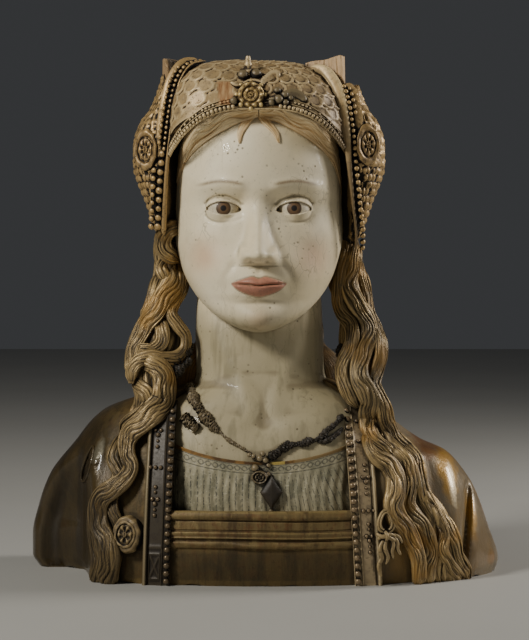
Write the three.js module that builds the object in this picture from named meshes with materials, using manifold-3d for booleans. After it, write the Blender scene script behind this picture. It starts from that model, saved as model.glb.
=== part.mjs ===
// A life-size bust of a young woman in a jewelled cap, carved in oak, gilded and painted, in millimetres.
// She faces -Y with +Z up, and stands on her flat underside at z = 0. +X is the viewer's right.
// The whole bust is one carving, so its forms are worked out one by one and joined into one solid.
import * as THREE from "three";
import { mergeVertices } from "three/addons/utils/BufferGeometryUtils.js";
import Module from "manifold-3d";

const wasm = await Module();
wasm.setup();

// The head is five eye widths across and seven high.
const eyeWidth = 28;
const headOffset = -4.5; // the head sits a little to the viewer's left of the shoulders
const neckWidth = 106;
const neckDepth = 96;
const neckLength = 35; // from the top of the torso to the chin

// Torso, from the underside to the root of the neck
const torsoHeight = 165;
const shoulderWidth = 390;
const torsoFront = 94; // reach forward of the widest plane at the underside
const torsoBack = 86; // reach behind the widest plane at the underside
const torsoWidestPlane = 8; // behind the middle of the neck
const leftSetBack = 53; // how far the viewer's left sleeve lies behind the hair at its foot
const rimSetBack = 28; // and how far its outer edge lies behind the widest plane

// Dress front: from the middle of the square neckline to the bands at its sill, and their lean outwards
const openingLeft = 73.5;
const openingRight = 68.2;
const leftSpread = 0.034;
const rightSpread = 0.062;
const openingSill = 58.5; // height of the sill over the underside
const bandWidth = 22;
const bandProud = 5;
const railProud = 4;
const beadSize = 5.4;
const chemiseTop = 112;
const chemiseDip = 14; // how far its upper edge sinks towards the middle
const chemiseProud = 2;

// Headdress
const capClearance = 8; // from the temples to the outside of the cap
const capRise = 24; // from the crown of the skull to the top of the cap
const capFront = 87;
const capBack = 95;
const capBorderDrop = 35; // from the brow jewel to the temples
const borderWidth = 7;
const caulReach = 105; // from the middle of the head to the outside of a caul
const caulTopHeight = 112; // above the eye line
const caulBottomDepth = 30; // below the eye line
const leftHornReach = 79.5;
const rightHornReach = 67;
const hornInnerEnd = 41;
const hornHeight = 20;
const hornDepth = 54;

// Hair
const hairDepth = 26;
const lockWidth = 16;
const lockThickness = 11;
const waveLength = 55;
const browLockWidth = 17;
const browLockThickness = 6;
const browFullness = 0.5; // how far the hair over the brow swells out towards the cap's border, as a share

// Jewels
const necklaceThickness = 7;
const rosetteDiameter = 25;
const rosetteThickness = 9;
const bowLength = 56;
const browJewelDiameter = 21;
const medallionLength = 29;

const chinHeight = torsoHeight + neckLength;
const eyeLine = chinHeight + 3.5 * eyeWidth;
const halfShoulders = shoulderWidth / 2;

const mix = (a, b, t) => a + (b - a) * t;
const clamp = (x, low = 0, high = 1) => Math.min(high, Math.max(low, x));
const gauss = (x) => Math.exp(-x * x);
const ease = (low, high, x) => {
  const t = clamp((x - low) / (high - low));
  return t * t * (3 - 2 * t);
};

// A smooth curve through a few [place, value] pairs, with no overshoot between them.
function through(pairs, at) {
  const last = pairs.length - 1;
  if (at <= pairs[0][0]) return pairs[0][1];
  if (at >= pairs[last][0]) return pairs[last][1];
  const slope = (i) => (pairs[i + 1][1] - pairs[i][1]) / (pairs[i + 1][0] - pairs[i][0]);
  const tangent = (i) => {
    if (i === 0) return slope(0);
    if (i === last) return slope(last - 1);
    const before = slope(i - 1);
    const after = slope(i);
    return before * after <= 0 ? 0 : (2 * before * after) / (before + after);
  };
  let i = 0;
  while (at > pairs[i + 1][0]) i++;
  const span = pairs[i + 1][0] - pairs[i][0];
  const t = (at - pairs[i][0]) / span;
  const square = t * t;
  const cube = square * t;
  return (
    (2 * cube - 3 * square + 1) * pairs[i][1] +
    (cube - 2 * square + t) * span * tangent(i) +
    (3 * square - 2 * cube) * pairs[i + 1][1] +
    (cube - square) * span * tangent(i + 1)
  );
}

// How far out a rounded plan still reaches at x, as a share: 1 in the middle and 0 at its half width.
const roundness = (x, halfWidth, power) =>
  Math.pow(Math.max(0, 1 - Math.pow(Math.abs(x) / halfWidth, power)), 1 / power);

// A closed body made of rings of points, one ring after another, with a fan at each end.
function ringBody(rings, sides, pointAt) {
  const positions = [];
  const index = [];
  for (let r = 0; r <= rings; r++)
    for (let s = 0; s < sides; s++) positions.push(...pointAt(r / rings, s / sides));
  const at = (r, s) => r * sides + (s % sides);
  for (let r = 0; r < rings; r++)
    for (let s = 0; s < sides; s++) {
      index.push(at(r, s), at(r, s + 1), at(r + 1, s + 1));
      index.push(at(r, s), at(r + 1, s + 1), at(r + 1, s));
    }
  const middle = (ring) => {
    const sum = [0, 0, 0];
    for (let s = 0; s < sides; s++)
      for (let k = 0; k < 3; k++) sum[k] += positions[3 * at(ring, s) + k] / sides;
    positions.push(...sum);
    return positions.length / 3 - 1;
  };
  const first = middle(0);
  const end = middle(rings);
  for (let s = 0; s < sides; s++) {
    index.push(first, at(0, s + 1), at(0, s));
    index.push(end, at(rings, s), at(rings, s + 1));
  }
  const body = new THREE.BufferGeometry();
  body.setAttribute("position", new THREE.Float32BufferAttribute(positions, 3));
  body.setIndex(index);
  return body;
}

const weldDistance = 0.2; // shorter edges are closed up where forms meet

// A three.js geometry as a manifold-3d solid, turned the right way round if its faces point inwards.
function solidFrom(geometry) {
  const bare = geometry.clone();
  for (const name of Object.keys(bare.attributes)) if (name !== "position") bare.deleteAttribute(name);
  const merged = mergeVertices(bare, 1e-3);
  const build = (triangles) =>
    new wasm.Manifold(
      new wasm.Mesh({
        numProp: 3,
        vertProperties: merged.attributes.position.array,
        triVerts: triangles,
        tolerance: weldDistance,
      }),
    );
  const triangles = new Uint32Array(merged.index.array);
  const solid = build(triangles);
  if (solid.volume() > 0) return solid;
  for (let i = 0; i < triangles.length; i += 3)
    [triangles[i + 1], triangles[i + 2]] = [triangles[i + 2], triangles[i + 1]];
  return build(triangles);
}

// A solid's triangles with their corners welded, without the slivers and the doubled ones, which cancel out.
function weldedGeometry(solid) {
  const mesh = solid.getMesh();
  const loose = new THREE.BufferGeometry();
  const positions = new Float32Array(mesh.numVert * 3);
  for (let v = 0; v < mesh.numVert; v++)
    positions.set(mesh.vertProperties.subarray(v * mesh.numProp, v * mesh.numProp + 3), v * 3);
  loose.setAttribute("position", new THREE.BufferAttribute(positions, 3));
  loose.setIndex(new THREE.BufferAttribute(mesh.triVerts, 1));
  const welded = mergeVertices(loose, weldDistance / 20);
  const triangles = new Map();
  for (let i = 0; i < welded.index.count; i += 3) {
    const corners = [0, 1, 2].map((k) => welded.index.getX(i + k));
    if (new Set(corners).size < 3) continue;
    const key = [...corners].sort((a, b) => a - b).join();
    if (triangles.has(key)) triangles.delete(key);
    else triangles.set(key, corners);
  }
  return welded.setIndex([...triangles.values()].flat());
}

// The solid's outer skin: pockets that the joined forms shut in between them are left out, and so filled.
function outerSkin(solid) {
  const shells = solidFrom(weldedGeometry(solid)).decompose();
  const largest = shells.reduce((best, shell) => (shell.volume() > best.volume() ? shell : best));
  return weldedGeometry(largest);
}

// Torso. The sleeves' outline is a share of half the shoulder width at a share of the torso's height,
// on the viewer's left, whose shoulder is higher, and on the viewer's right.
const leftOutline = [
  [0, 0.98], [0.06, 1.01], [0.16, 1.01], [0.32, 0.98], [0.48, 0.925],
  [0.65, 0.812], [0.8, 0.7], [0.89, 0.5], [0.95, 0.35], [1, 0.23],
];
const rightOutline = [
  [0, 0.985], [0.06, 1], [0.21, 0.962], [0.43, 0.892], [0.51, 0.849],
  [0.6, 0.78], [0.66, 0.67], [0.76, 0.55], [0.88, 0.42], [0.95, 0.34], [1, 0.23],
];
const frontOutline = [[0, 0.97], [0.15, 1], [0.4, 0.98], [0.6, 0.9], [0.8, 0.76], [1, 0.58]];
const backOutline = [[0, 1], [0.3, 1.02], [0.6, 0.93], [0.8, 0.8], [1, 0.6]];
const frontPower = 1.95;
const leftBackPower = 5;
const rightBackPower = 2.5;

const torsoHalfWidth = (side, z) =>
  halfShoulders * through(side < 0 ? leftOutline : rightOutline, z / torsoHeight);

// The dress's reach forward at x and z, with the flatter panel between the bands and the sleeves' folds.
function dressForward(x, z) {
  const share = clamp(z / torsoHeight);
  const around = roundness(x, torsoHalfWidth(x, clamp(z, 0, torsoHeight)), frontPower);
  const plain = torsoFront * through(frontOutline, share) * around - torsoWidestPlane;
  return plain + sleeveFolds(x, z);
}

// Each sleeve swells beside a long hollow fold, and the chest under the hair is a little sunk.
function sleeveFolds(x, z) {
  const out = Math.abs(x) / halfShoulders;
  const up = z / torsoHeight;
  const leaning = out + 0.25 * up;
  const side = ease(0.55, 0.7, out);
  return side * (5 * gauss((leaning - 0.86) / 0.07) - 6 * gauss((leaning - 0.98) / 0.035));
}

// The viewer's left sleeve drops back beside the hair, most of all at its foot.
const footShare = (x, z) => (x < 0 ? ease(0.76, 0.24, z / torsoHeight) : 0);

function sleeveFront(x, z) {
  const rim = ease(0.88, 1, Math.abs(x) / torsoHalfWidth(x, z));
  const setBack = mix(leftSetBack, rimSetBack, rim) * ease(0.7, 0.78, -x / halfShoulders);
  return setBack * footShare(x, z) - dressForward(x, z);
}

function sleeveBack(x, z) {
  const halfWidth = torsoHalfWidth(x, z);
  const plane = torsoWidestPlane + rimSetBack * footShare(x, z) * ease(0.8, 1, Math.abs(x) / halfWidth);
  const back = torsoWidestPlane + torsoBack * through(backOutline, z / torsoHeight);
  return mix(plane, back, roundness(x, halfWidth, x < 0 ? leftBackPower : rightBackPower));
}

function torsoPoint(up, around) {
  const z = torsoHeight * up;
  const angle = 2 * Math.PI * around;
  const x = torsoHalfWidth(Math.sin(angle), z) * Math.sin(angle);
  return [x, Math.cos(angle) >= 0 ? sleeveFront(x, z) : sleeveBack(x, z), z];
}

// Bare chest and neck, from behind the dress front up into the head.
const chestFront = [[0, 1.56], [0.3, 1.56], [0.48, 1.44], [0.62, 1.2], [0.74, 1.02], [1, 0.95]];
const chestWidth = [
  [0, 1.58], [0.53, 1.58], [0.62, 1.43], [0.67, 1.21], [0.7, 1.06], [0.74, 1.01], [0.91, 0.99], [1, 0.98],
];

const neckTop = chinHeight + 0.9 * eyeWidth;
const chestForward = (x, z) => {
  const share = z / neckTop;
  const halfWidth = (neckWidth / 2) * through(chestWidth, share);
  const power = mix(2.3, 3.7, ease(0.7, 0.61, share));
  return (neckDepth / 2) * through(chestFront, share) * roundness(x, halfWidth, power);
};

function chestPoint(up, around) {
  const z = mix(openingSill / 2, neckTop, up);
  const angle = 2 * Math.PI * around;
  const x = (neckWidth / 2) * through(chestWidth, z / neckTop) * Math.sin(angle);
  const lean = headOffset * ease(torsoHeight * 0.6, chinHeight, z);
  if (Math.cos(angle) >= 0) return [x + lean, -chestForward(x, z), z];
  return [x + lean, (neckDepth / 2) * -Math.cos(angle), z];
}

// Head. Across and up are in eye widths from the middle of the face and from the eye line.
const brow = 0.607;
const noseBase = -1.446;
const mouth = -2.13;
const faceMidline = [
  [-3.5, 2.2], [-3.42, 2.56], [-3.25, 2.82], [-3, 2.92], [-2.64, 2.88], [-2.36, 2.95],
  [-1.96, 2.99], [noseBase, 2.92], [-0.9, 2.82], [-0.4, 2.77], [0.1, 2.78], [brow, 2.93], [0.96, 2.95],
];
const widestPlane = [[-3.5, 2.1], [-3.2, 1.85], [-2.6, 1.15], [-2.1, 0.72], [-1.3, 0.3], [0, 0.18], [1.5, 0]];
const headBack = [[-3.5, -1.8], [-3, -0.7], [-2.6, 0.3], [-2.1, 1.3], [-1.3, 2.6], [-0.6, 3.1], [0.6, 3.3]];
const noseRidge = [
  [noseBase, 0.1], [-1.38, 0.6], [-1.3, 0.8], [-1.2, 0.82], [-1.05, 0.72],
  [-0.6, 0.48], [-0.2, 0.26], [0.2, 0.03],
];
const noseHalfWidth = [[noseBase, 0.42], [-1.2, 0.4], [-0.9, 0.33], [-0.3, 0.28], [0.2, 0.3]];

const headHalfWidth = (up) =>
  up > 0
    ? 2.5 * Math.pow(Math.max(0, 1 - Math.pow(up / 3.5, 3.2)), 1 / 2.2)
    : 2.5 * Math.pow(Math.max(0, 1 - Math.pow(-up / 3.5, 2.5)), 0.6);

const headMidline = (up) =>
  up > 0.96
    ? 2.95 * Math.pow(Math.max(0, 1 - Math.pow((up - 0.75) / 2.78, 2.6)), 1 / 2.3)
    : through(faceMidline, up);

// The nose, eyes, lips and cheeks, standing out from the plain oval of the head.
function features(across, up) {
  const a = Math.abs(across);
  const sockets = -0.22 * gauss((a - 0.96) / 0.62) * gauss((up - 0.12) / 0.4);
  const innerCorners = -0.16 * gauss((a - 0.42) / 0.22) * gauss((up - 0.2) / 0.3);
  const eyeball = Math.sqrt(Math.max(0, 0.27 - (a - 1) ** 2 - up ** 2));
  const eyes = 0.26 * ease(0, 0.5, eyeball);
  const cheekbones = 0.08 * gauss((a - 1.7) / 0.6) * gauss((up + 0.78) / 0.5);
  const ridge = through(noseRidge, up) * ease(noseBase - 0.06, noseBase + 0.06, up);
  const nose = ridge * Math.exp(-Math.pow(a / through(noseHalfWidth, up), 2.2));
  const wings = 0.27 * gauss((a - 0.41) / 0.15) * gauss((up + 1.29) / 0.18);
  const lips =
    0.15 * gauss(a / 0.55) * gauss((up - mouth - 0.14) / 0.13) +
    0.17 * gauss(a / 0.5) * gauss((up - mouth + 0.17) / 0.14) -
    0.1 * gauss(a / 0.7) * gauss((up - mouth) / 0.05);
  const underLip = -0.08 * gauss(a / 0.55) * gauss((up + 2.64) / 0.14);
  const chin = 0.1 * gauss(a / 0.5) * gauss((up + 3.05) / 0.3);
  return sockets + innerCorners + eyes + cheekbones + nose + wings + lips + underLip + chin;
}

function faceForward(across, up) {
  const plane = through(widestPlane, up);
  const oval = plane + (headMidline(up) - plane) * roundness(across, headHalfWidth(up), 2.15);
  return oval + features(across, up) * ease(-3.5, -3.3, up) * ease(3, 2.4, up);
}

// Rows crowd at the chin, lips, nose and eyes, and columns crowd towards the nose.
const headRows = [
  [0, -3.49], [0.1, -3.22], [0.32, -2.1], [0.5, -1.3], [0.62, -0.5], [0.78, 0.6], [0.9, 2.4], [1, 3.49],
];

function headPoint(rise, around) {
  const up = through(headRows, rise);
  const turn = around < 0.5 ? around * 2 : (1 - around) * 2; // 0 in front, 1 behind
  const side = around < 0.5 ? 1 : -1;
  const frontShare = 0.72;
  const halfWidth = headHalfWidth(up);
  if (turn <= frontShare) {
    const t = turn / frontShare;
    const across = halfWidth * Math.sin((Math.PI / 2) * mix(t * t, t, 0.45)) * side;
    return [across, -faceForward(across, up), up];
  }
  const angle = (Math.PI / 2) * ((turn - frontShare) / (1 - frontShare));
  const plane = through(widestPlane, up);
  const crown = Math.pow(Math.max(0, 1 - Math.pow(Math.max(0, up) / 3.5, 2.6)), 0.5);
  const back = through(headBack, up) * crown;
  return [halfWidth * Math.cos(angle) * side, -plane + (back + plane) * Math.sin(angle), up];
}

// Cap: a boxy dome over the skull, ending at a border that drops from the brow jewel to the temples.
const capMiddle = eyeLine + 1.3 * eyeWidth;
const capTop = eyeLine + 3.5 * eyeWidth + capRise;
const capHalfWidth = 2.5 * eyeWidth + capClearance - 4;
const capDepthMiddle = (capBack - capFront) / 2;
const capHalfDepth = (capBack + capFront) / 2;
const capPower = 3;
const leftCapPower = 4; // its upper corner is fuller on the viewer's left
const borderHeight = (x) =>
  eyeLine + 2.9 * eyeWidth - capBorderDrop * Math.pow(Math.abs(x) / (capHalfWidth - 3), 3);

const capPowerAt = (turn) => mix(capPower, leftCapPower, ease(0, -0.7, turn));

const capForward = (x, z) => {
  const power = capPowerAt(x / capHalfWidth);
  const rise = Math.max(0, z - capMiddle) / (capTop - capMiddle);
  const share = 1 - Math.pow(rise, power) - Math.pow(Math.abs(x) / capHalfWidth, power);
  return capHalfDepth * Math.pow(Math.max(0, share), 1 / power) - capDepthMiddle;
};

function capPoint(down, around) {
  const angle = 2 * Math.PI * around;
  const turn = new THREE.Vector2(Math.sin(angle), Math.cos(angle));
  const flank = borderHeight(capHalfWidth * 0.97 * turn.x);
  const edge = mix(flank, eyeLine + 0.1 * eyeWidth, ease(0.1, -0.6, turn.y));
  const power = capPowerAt(turn.x);
  const end = clamp((edge - capMiddle) / (capTop - capMiddle), -0.9, 1);
  const last = end > 0 ? Math.atan(Math.pow(Math.pow(end, -power) - 1, 1 / power)) : Math.acos(end);
  const lastRow = down > 0.99;
  const polar = last * Math.min(1, down / 0.9);
  const planPower = turn.y > 0 ? power : 2.2;
  const plan = Math.pow(Math.abs(turn.x) ** planPower + Math.abs(turn.y) ** planPower, -1 / planPower);
  const share = [Math.sin(polar), Math.max(0, Math.cos(polar))];
  const reach = Math.pow(share[0] ** power + share[1] ** power, -1 / power);
  const widest = plan * (1 - 0.3 * Math.min(0, Math.cos(polar)) * Math.min(0, turn.y));
  const out = (Math.cos(polar) > 0 ? share[0] * reach * plan : widest) * (lastRow ? 0.8 : 1);
  const up = Math.cos(polar) * (Math.cos(polar) > 0 ? reach : 1);
  return [
    capHalfWidth * out * turn.x,
    capDepthMiddle - capHalfDepth * out * turn.y,
    capMiddle + (capTop - capMiddle) * up,
  ];
}

// Side cauls: a long swelling shell over each ear, pointed at the bottom.
const caulOutline = [
  [0, 0.76], [0.13, 0.83], [0.28, 0.9], [0.39, 0.96], [0.48, 0.99], [0.6, 0.985], [0.68, 0.96],
  [0.75, 0.91], [0.8, 0.855], [0.87, 0.815], [1, 0.76],
];
const caulInside = 0.71; // the shell's hidden side, as a share of its reach
const caulFront = [[0, 0.24], [0.3, 0.42], [0.6, 0.46], [0.85, 0.36], [1, 0.2]];
const caulDepth = [[0, 0.25], [0.3, 0.5], [0.6, 0.62], [0.85, 0.55], [1, 0.35]];

function caulPoint(side, up, around) {
  const z = eyeLine + mix(-caulBottomDepth, caulTopHeight, up);
  const angle = 2 * Math.PI * around;
  const outer = caulReach * through(caulOutline, up);
  const inner = caulReach * caulInside;
  const depth = caulReach * through(caulDepth, up);
  const front = caulReach * through(caulFront, up);
  const outwards = Math.sin(angle);
  const sunk = 0.2 * caulReach * outwards * (1 - Math.max(0, Math.cos(angle)));
  const x = inner + (outwards > 0 ? (outer - inner) * Math.pow(outwards, 0.8) : sunk);
  const y = Math.cos(angle) > 0 ? -front * Math.pow(Math.cos(angle), 0.8) : -depth * Math.cos(angle);
  return [side * x, y, z];
}

// Horns: the stumps of a turned-up brim, cut off flat at the top corners of the headdress.
function hornBody(side) {
  const reach = side < 0 ? leftHornReach : rightHornReach;
  const top = capTop + (side < 0 ? 3.5 : 6);
  const outline = new THREE.Shape();
  outline.moveTo(reach, top);
  outline.lineTo(hornInnerEnd, top - 3.5);
  outline.lineTo(hornInnerEnd - 7, capTop - 1.2 * hornHeight);
  outline.lineTo(reach, capTop - hornHeight);
  const horn = new THREE.ExtrudeGeometry(outline, { depth: hornDepth, bevelEnabled: false });
  horn.rotateX(Math.PI / 2);
  horn.translate(0, hornDepth / 4, 0);
  return side < 0 ? horn.scale(-1, 1, 1) : horn;
}

// A lock of hair: a tapering flattened tube along a wandering line.
function lockBody({ line, width, thickness, outward, rings = 12, sides = 5 }) {
  return ringBody(rings, sides, (along, around) => {
    const here = line(along);
    const step = 0.01;
    const tangent = line(Math.min(1, along + step)).sub(line(Math.max(0, along - step))).normalize();
    const out = outward(here);
    out.addScaledVector(tangent, -out.dot(tangent)).normalize();
    const across = new THREE.Vector3().crossVectors(tangent, out);
    const angle = 2 * Math.PI * around;
    const taper = mix(0.72, 1, Math.sin(Math.PI * clamp(along * 1.1)));
    return here
      .addScaledVector(across, (width / 2) * taper * Math.cos(angle))
      .addScaledVector(out, (thickness / 2) * taper * Math.sin(angle))
      .toArray();
  });
}

// The fall of hair on each side: [height, distance out, half width].
const hairFall = {
  left: [
    [0, 126, 14], [35, 125, 12], [68, 121, 13], [94, 114, 11], [113, 109, 10], [127, 100, 14],
    [148, 92, 15], [171, 91, 17], [190, 85, 19], [221, 82, 13], [242, 78, 12], [276, 76, 11],
  ],
  right: [
    [0, 135, 27], [50, 126, 23], [83, 113, 16], [97, 107, 17], [113, 94, 14], [144, 86, 14],
    [168, 76, 17], [189, 80, 17], [212, 75, 13], [235, 69, 13], [255, 69, 11], [276, 70, 10],
  ],
};
const hangingForward = [[115, 66], [140, 54], [165, 42], [190, 32], [225, 22], [276, 16]];

const hairAt = (side, z, column) => {
  const rows = side < 0 ? hairFall.left : hairFall.right;
  return through(rows.map((row) => [(row[0] * torsoHeight) / 165, row[column]]), z);
};
const hairLean = (z) => headOffset * ease(torsoHeight * 0.8, eyeLine, z);

// The front of the hair: it hangs free beside the neck and lies on the dress below.
function hairForward(x, z, lift) {
  const side = Math.sign(x);
  const shoulder = 0.82 * torsoHalfWidth(side, z);
  const rest = dressForward(clamp(x, -shoulder, shoulder), z) + lift;
  const hanging = through(hangingForward, (z * 165) / torsoHeight) + 0.5 * lift;
  return mix(hanging, rest, ease(torsoHeight * 0.94, torsoHeight * 0.7, z));
}

// The mass of hair that carries the locks.
function hairMass(side) {
  const top = torsoHeight * 1.67;
  return ringBody(9, 6, (fall, around) => {
    const z = mix(top, -4, fall);
    const middle = side * hairAt(side, z, 1) + hairLean(z);
    const angle = 2 * Math.PI * around;
    const front = hairForward(middle, z, 4);
    const x = middle + 0.86 * hairAt(side, z, 2) * Math.sin(angle);
    return [x, -(front - 0.5 * hairDepth * (1 - Math.cos(angle))), z];
  });
}

// Each lock waves from side to side across the fall: place -1 runs down its inner edge and 1 its outer.
function lockLine(side, lock) {
  return (along) => {
    const z = (mix(lock.top, lock.bottom, along) * torsoHeight) / 165;
    const wave = (2 * Math.PI * (z - lock.crest)) / waveLength;
    const loose = Math.min(1, 4 * along + 0.3) * lock.swing;
    const spread = Math.max(0, hairAt(side, z, 2) - lockWidth / 3);
    const out = hairAt(side, z, 1) + lock.place * spread + loose * Math.cos(wave);
    const x = side * out + hairLean(z);
    return new THREE.Vector3(x, -hairForward(x, z, lock.lift) - 0.25 * loose * Math.sin(wave), z);
  };
}

const locks = {
  left: [
    { top: 284, bottom: 172, crest: 270, swing: 8, place: 0, lift: 6 },
    { top: 256, bottom: 128, crest: 262, swing: 7, place: 0.7, lift: 2 },
    { top: 226, bottom: 118, crest: 276, swing: 8, place: -0.5, lift: 6 },
    { top: 180, bottom: 60, crest: 124, swing: 8, place: 0.3, lift: 8 },
    { top: 140, bottom: -2, crest: 128, swing: 7, place: -0.5, lift: 6 },
    { top: 112, bottom: -2, crest: 120, swing: 7, place: 0.6, lift: 5 },
  ],
  right: [
    { top: 278, bottom: 196, crest: 232, swing: 6, place: 0, lift: 4 },
    { top: 262, bottom: 120, crest: 195, swing: 7, place: 0.7, lift: 2 },
    { top: 225, bottom: 120, crest: 198, swing: 8, place: -0.5, lift: 6 },
    { top: 168, bottom: 30, crest: 140, swing: 7, place: 0.1, lift: 8 },
    { top: 130, bottom: -2, crest: 86, swing: 7, place: -0.6, lift: 6 },
    { top: 108, bottom: -2, crest: 82, swing: 6, place: 0.1, lift: 7 },
    { top: 116, bottom: -2, crest: 78, swing: 6, place: 0.85, lift: 5 },
  ],
};

function hairLocks(side) {
  const facing = (here) => new THREE.Vector3(here.x * 0.8, here.y - 60, 0).normalize();
  return locks[side < 0 ? "left" : "right"].map((lock) =>
    lockBody({
      line: lockLine(side, lock),
      width: lockWidth,
      thickness: lockThickness,
      outward: facing,
      rings: Math.ceil((lock.top - lock.bottom) / 18),
    }),
  );
}

// Hair drawn from the parting under the cap's border to the temples.
function browLock(side) {
  const line = (along) => {
    const across = mix(0.12, 2.46, Math.pow(along, 0.85)) * side;
    const up = 2.55 - 0.25 * Math.pow(along, 1.5) - 2.1 * Math.pow(along, 5);
    const x = across * eyeWidth;
    const skin = faceForward(clamp(across, -2.3, 2.3), up) * eyeWidth;
    const forward = mix(skin, capForward(x, borderHeight(x)), browFullness * ease(0.95, 0.5, along));
    return new THREE.Vector3(x + headOffset, -forward, eyeLine + up * eyeWidth);
  };
  const facing = (here) => new THREE.Vector3((here.x - headOffset) * 0.9, here.y, 0).normalize();
  return lockBody({
    line,
    width: browLockWidth,
    thickness: browLockThickness * 2,
    outward: facing,
    rings: 10,
  });
}

// Hair at the back: one gathered fall behind the neck that widens over the shoulders.
const backHairWidth = [
  [0, 1.7], [0.25, 1.6], [0.42, 1.52], [0.5, 1.5], [0.57, 1.4], [0.605, 1.2], [0.64, 1], [0.8, 0.9], [1, 1.2],
];
const backHairDepth = [[0, 1.02], [0.3, 1.06], [0.45, 1], [0.6, 0.82], [0.85, 0.88], [1, 0.9]];

function backHairPoint(up, around) {
  const z = eyeLine * up;
  const angle = 2 * Math.PI * around;
  const halfWidth = (neckWidth / 2) * through(backHairWidth, up);
  const reach = (torsoWidestPlane + torsoBack) * through(backHairDepth, up);
  const waves = 1 + 0.05 * Math.cos(9 * angle) * (Math.cos(angle) < 0 ? 1 : 0);
  const back = Math.cos(angle) < 0 ? -Math.cos(angle) * reach * waves : -0.2 * reach * Math.cos(angle);
  return [halfWidth * Math.sin(angle) + headOffset * ease(0.3, 0.7, up), back, z];
}

// Bands: a raised border down each side of the neckline, leaning out towards the underside.
const bandInner = (side, z) =>
  side < 0 ? openingLeft + leftSpread * (openingSill - z) : openingRight + rightSpread * (openingSill - z);
const bandTop = torsoHeight * 0.86;

function bandBody(side) {
  return ringBody(6, 6, (up, around) => {
    const z = bandTop * up;
    const corner = Math.round(around * 6);
    const inner = side * bandInner(side, z);
    const outer = inner + side * bandWidth;
    const x = [inner, (inner + outer) / 2, outer, outer, (inner + outer) / 2, inner][corner];
    const front = -(dressForward(x, z) + bandProud);
    return [x, corner < 3 ? front : front + 5 * bandProud, z];
  });
}

// A string of beads down the inner edge of each band, as a slim rounded strip.
function beadStrip(side) {
  const line = (along) => {
    const z = mix(3, bandTop, along);
    const x = side * (bandInner(side, z) + beadSize * 0.45);
    return new THREE.Vector3(x, -(dressForward(x, z) + bandProud), z);
  };
  return lockBody({
    line,
    width: beadSize,
    thickness: beadSize,
    outward: () => new THREE.Vector3(0, -1, 0),
    rings: 6,
    sides: 5,
  });
}

// Rails: the folds that run level across the dress front under the neckline.
const railPlaces = [
  { height: openingSill - 4, size: 9 },
  { height: openingSill - 17, size: 7 },
  { height: openingSill - 27, size: 6 },
];

function railBody({ height, size }) {
  return ringBody(6, 6, (across, around) => {
    const angle = 2 * Math.PI * around;
    const x = mix(-bandInner(-1, height), bandInner(1, height), across);
    const front = dressForward(x, height);
    return [x, -front - railProud * Math.cos(angle), height + (size / 2) * Math.sin(angle)];
  });
}

// Chemise: the patterned shift inside the square neckline, its upper edge sagging in the middle.
const chemiseEdge = (x) => chemiseTop - chemiseDip * (1 - (x / (x < 0 ? openingLeft : openingRight)) ** 2);

function chemiseBody() {
  return ringBody(8, 8, (across, around) => {
    const x = mix(-openingLeft, openingRight, across);
    const level = [0, 0.33, 0.67, 1, 1, 0.67, 0.33, 0][Math.round(around * 8)];
    const z = mix(openingSill - 4, chemiseEdge(x), level);
    const front = -(chestForward(x, z) + chemiseProud);
    return [x, around < 0.49 ? front : front + 12, z];
  });
}

// The square neckline is cut back through the front of the dress.
function neckOpening() {
  const low = openingSill;
  const high = torsoHeight + 1;
  const outline = new THREE.Shape();
  outline.moveTo(-bandInner(-1, low), low);
  outline.lineTo(bandInner(1, low), low);
  outline.lineTo(bandInner(1, high), high);
  outline.lineTo(-bandInner(-1, high), high);
  const cut = new THREE.ExtrudeGeometry(outline, { depth: 100, bevelEnabled: false });
  cut.rotateX(Math.PI / 2);
  return cut.translate(0, -20, 0);
}

// Folds cut into the sleeves: a leaf-shaped slit on the viewer's left, and a long slot on the right.
// Each line runs from its top to its foot, as [across, height].
const sleeveCuts = [
  { from: [-142, 100], to: [-150, 77], width: 4 },
  { from: [169, 72], to: [162, 12], width: 6.5 },
];
const cutDepth = 14; // half of it lies outside the sleeve

function sleeveCut({ from, to, width }) {
  const line = (along) => {
    const [x, z] = [mix(from[0], to[0], along), mix(from[1], to[1], along)];
    return new THREE.Vector3(x, sleeveFront(x, z), z);
  };
  return lockBody({ line, width, thickness: cutDepth, outward: () => new THREE.Vector3(0, -1, 0), rings: 4 });
}

// Jewels
function necklaceBody(side) {
  const line = (along) => {
    const x = side * mix(2, bandInner(side, chemiseTop) - 3, along);
    const z = chemiseEdge(0) + mix(2, 48, Math.pow(along, side < 0 ? 1.35 : 1.5)) * (side < 0 ? 1.1 : 0.75);
    return new THREE.Vector3(x, -chestForward(clamp(x, -60, 60), z) - necklaceThickness * 0.3, z);
  };
  return lockBody({
    line,
    width: necklaceThickness,
    thickness: necklaceThickness,
    outward: () => new THREE.Vector3(0, -1, 0),
    rings: 6,
    sides: 5,
  });
}

function pendantBody() {
  const size = 11;
  const pendant = new THREE.OctahedronGeometry(size, 1);
  pendant.scale(1, 0.55, 1.3);
  const z = chemiseEdge(0) - size * 0.9;
  return pendant.translate(0, -chestForward(0, z) - chemiseProud, z);
}

// A round boss with a raised rim and a domed middle, facing a given way.
function bossBody(diameter, thickness, stretch = 1, steps = 8) {
  const radius = diameter / 2;
  const profile = [
    [0, -thickness], [radius * 0.94, -thickness], [radius, thickness * 0.15], [radius * 0.9, thickness * 0.5],
    [radius * 0.72, thickness * 0.5], [radius * 0.62, thickness * 0.25], [radius * 0.3, thickness * 0.5],
    [0, thickness * 0.55],
  ].map(([r, h]) => new THREE.Vector2(r, h));
  const boss = new THREE.LatheGeometry(profile, steps);
  return boss.scale(1, 1, stretch);
}

function placed(body, at, facing) {
  const turn = new THREE.Quaternion().setFromUnitVectors(
    new THREE.Vector3(0, 1, 0),
    new THREE.Vector3(...facing).normalize(),
  );
  return body.applyQuaternion(turn).translate(...at);
}

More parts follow.
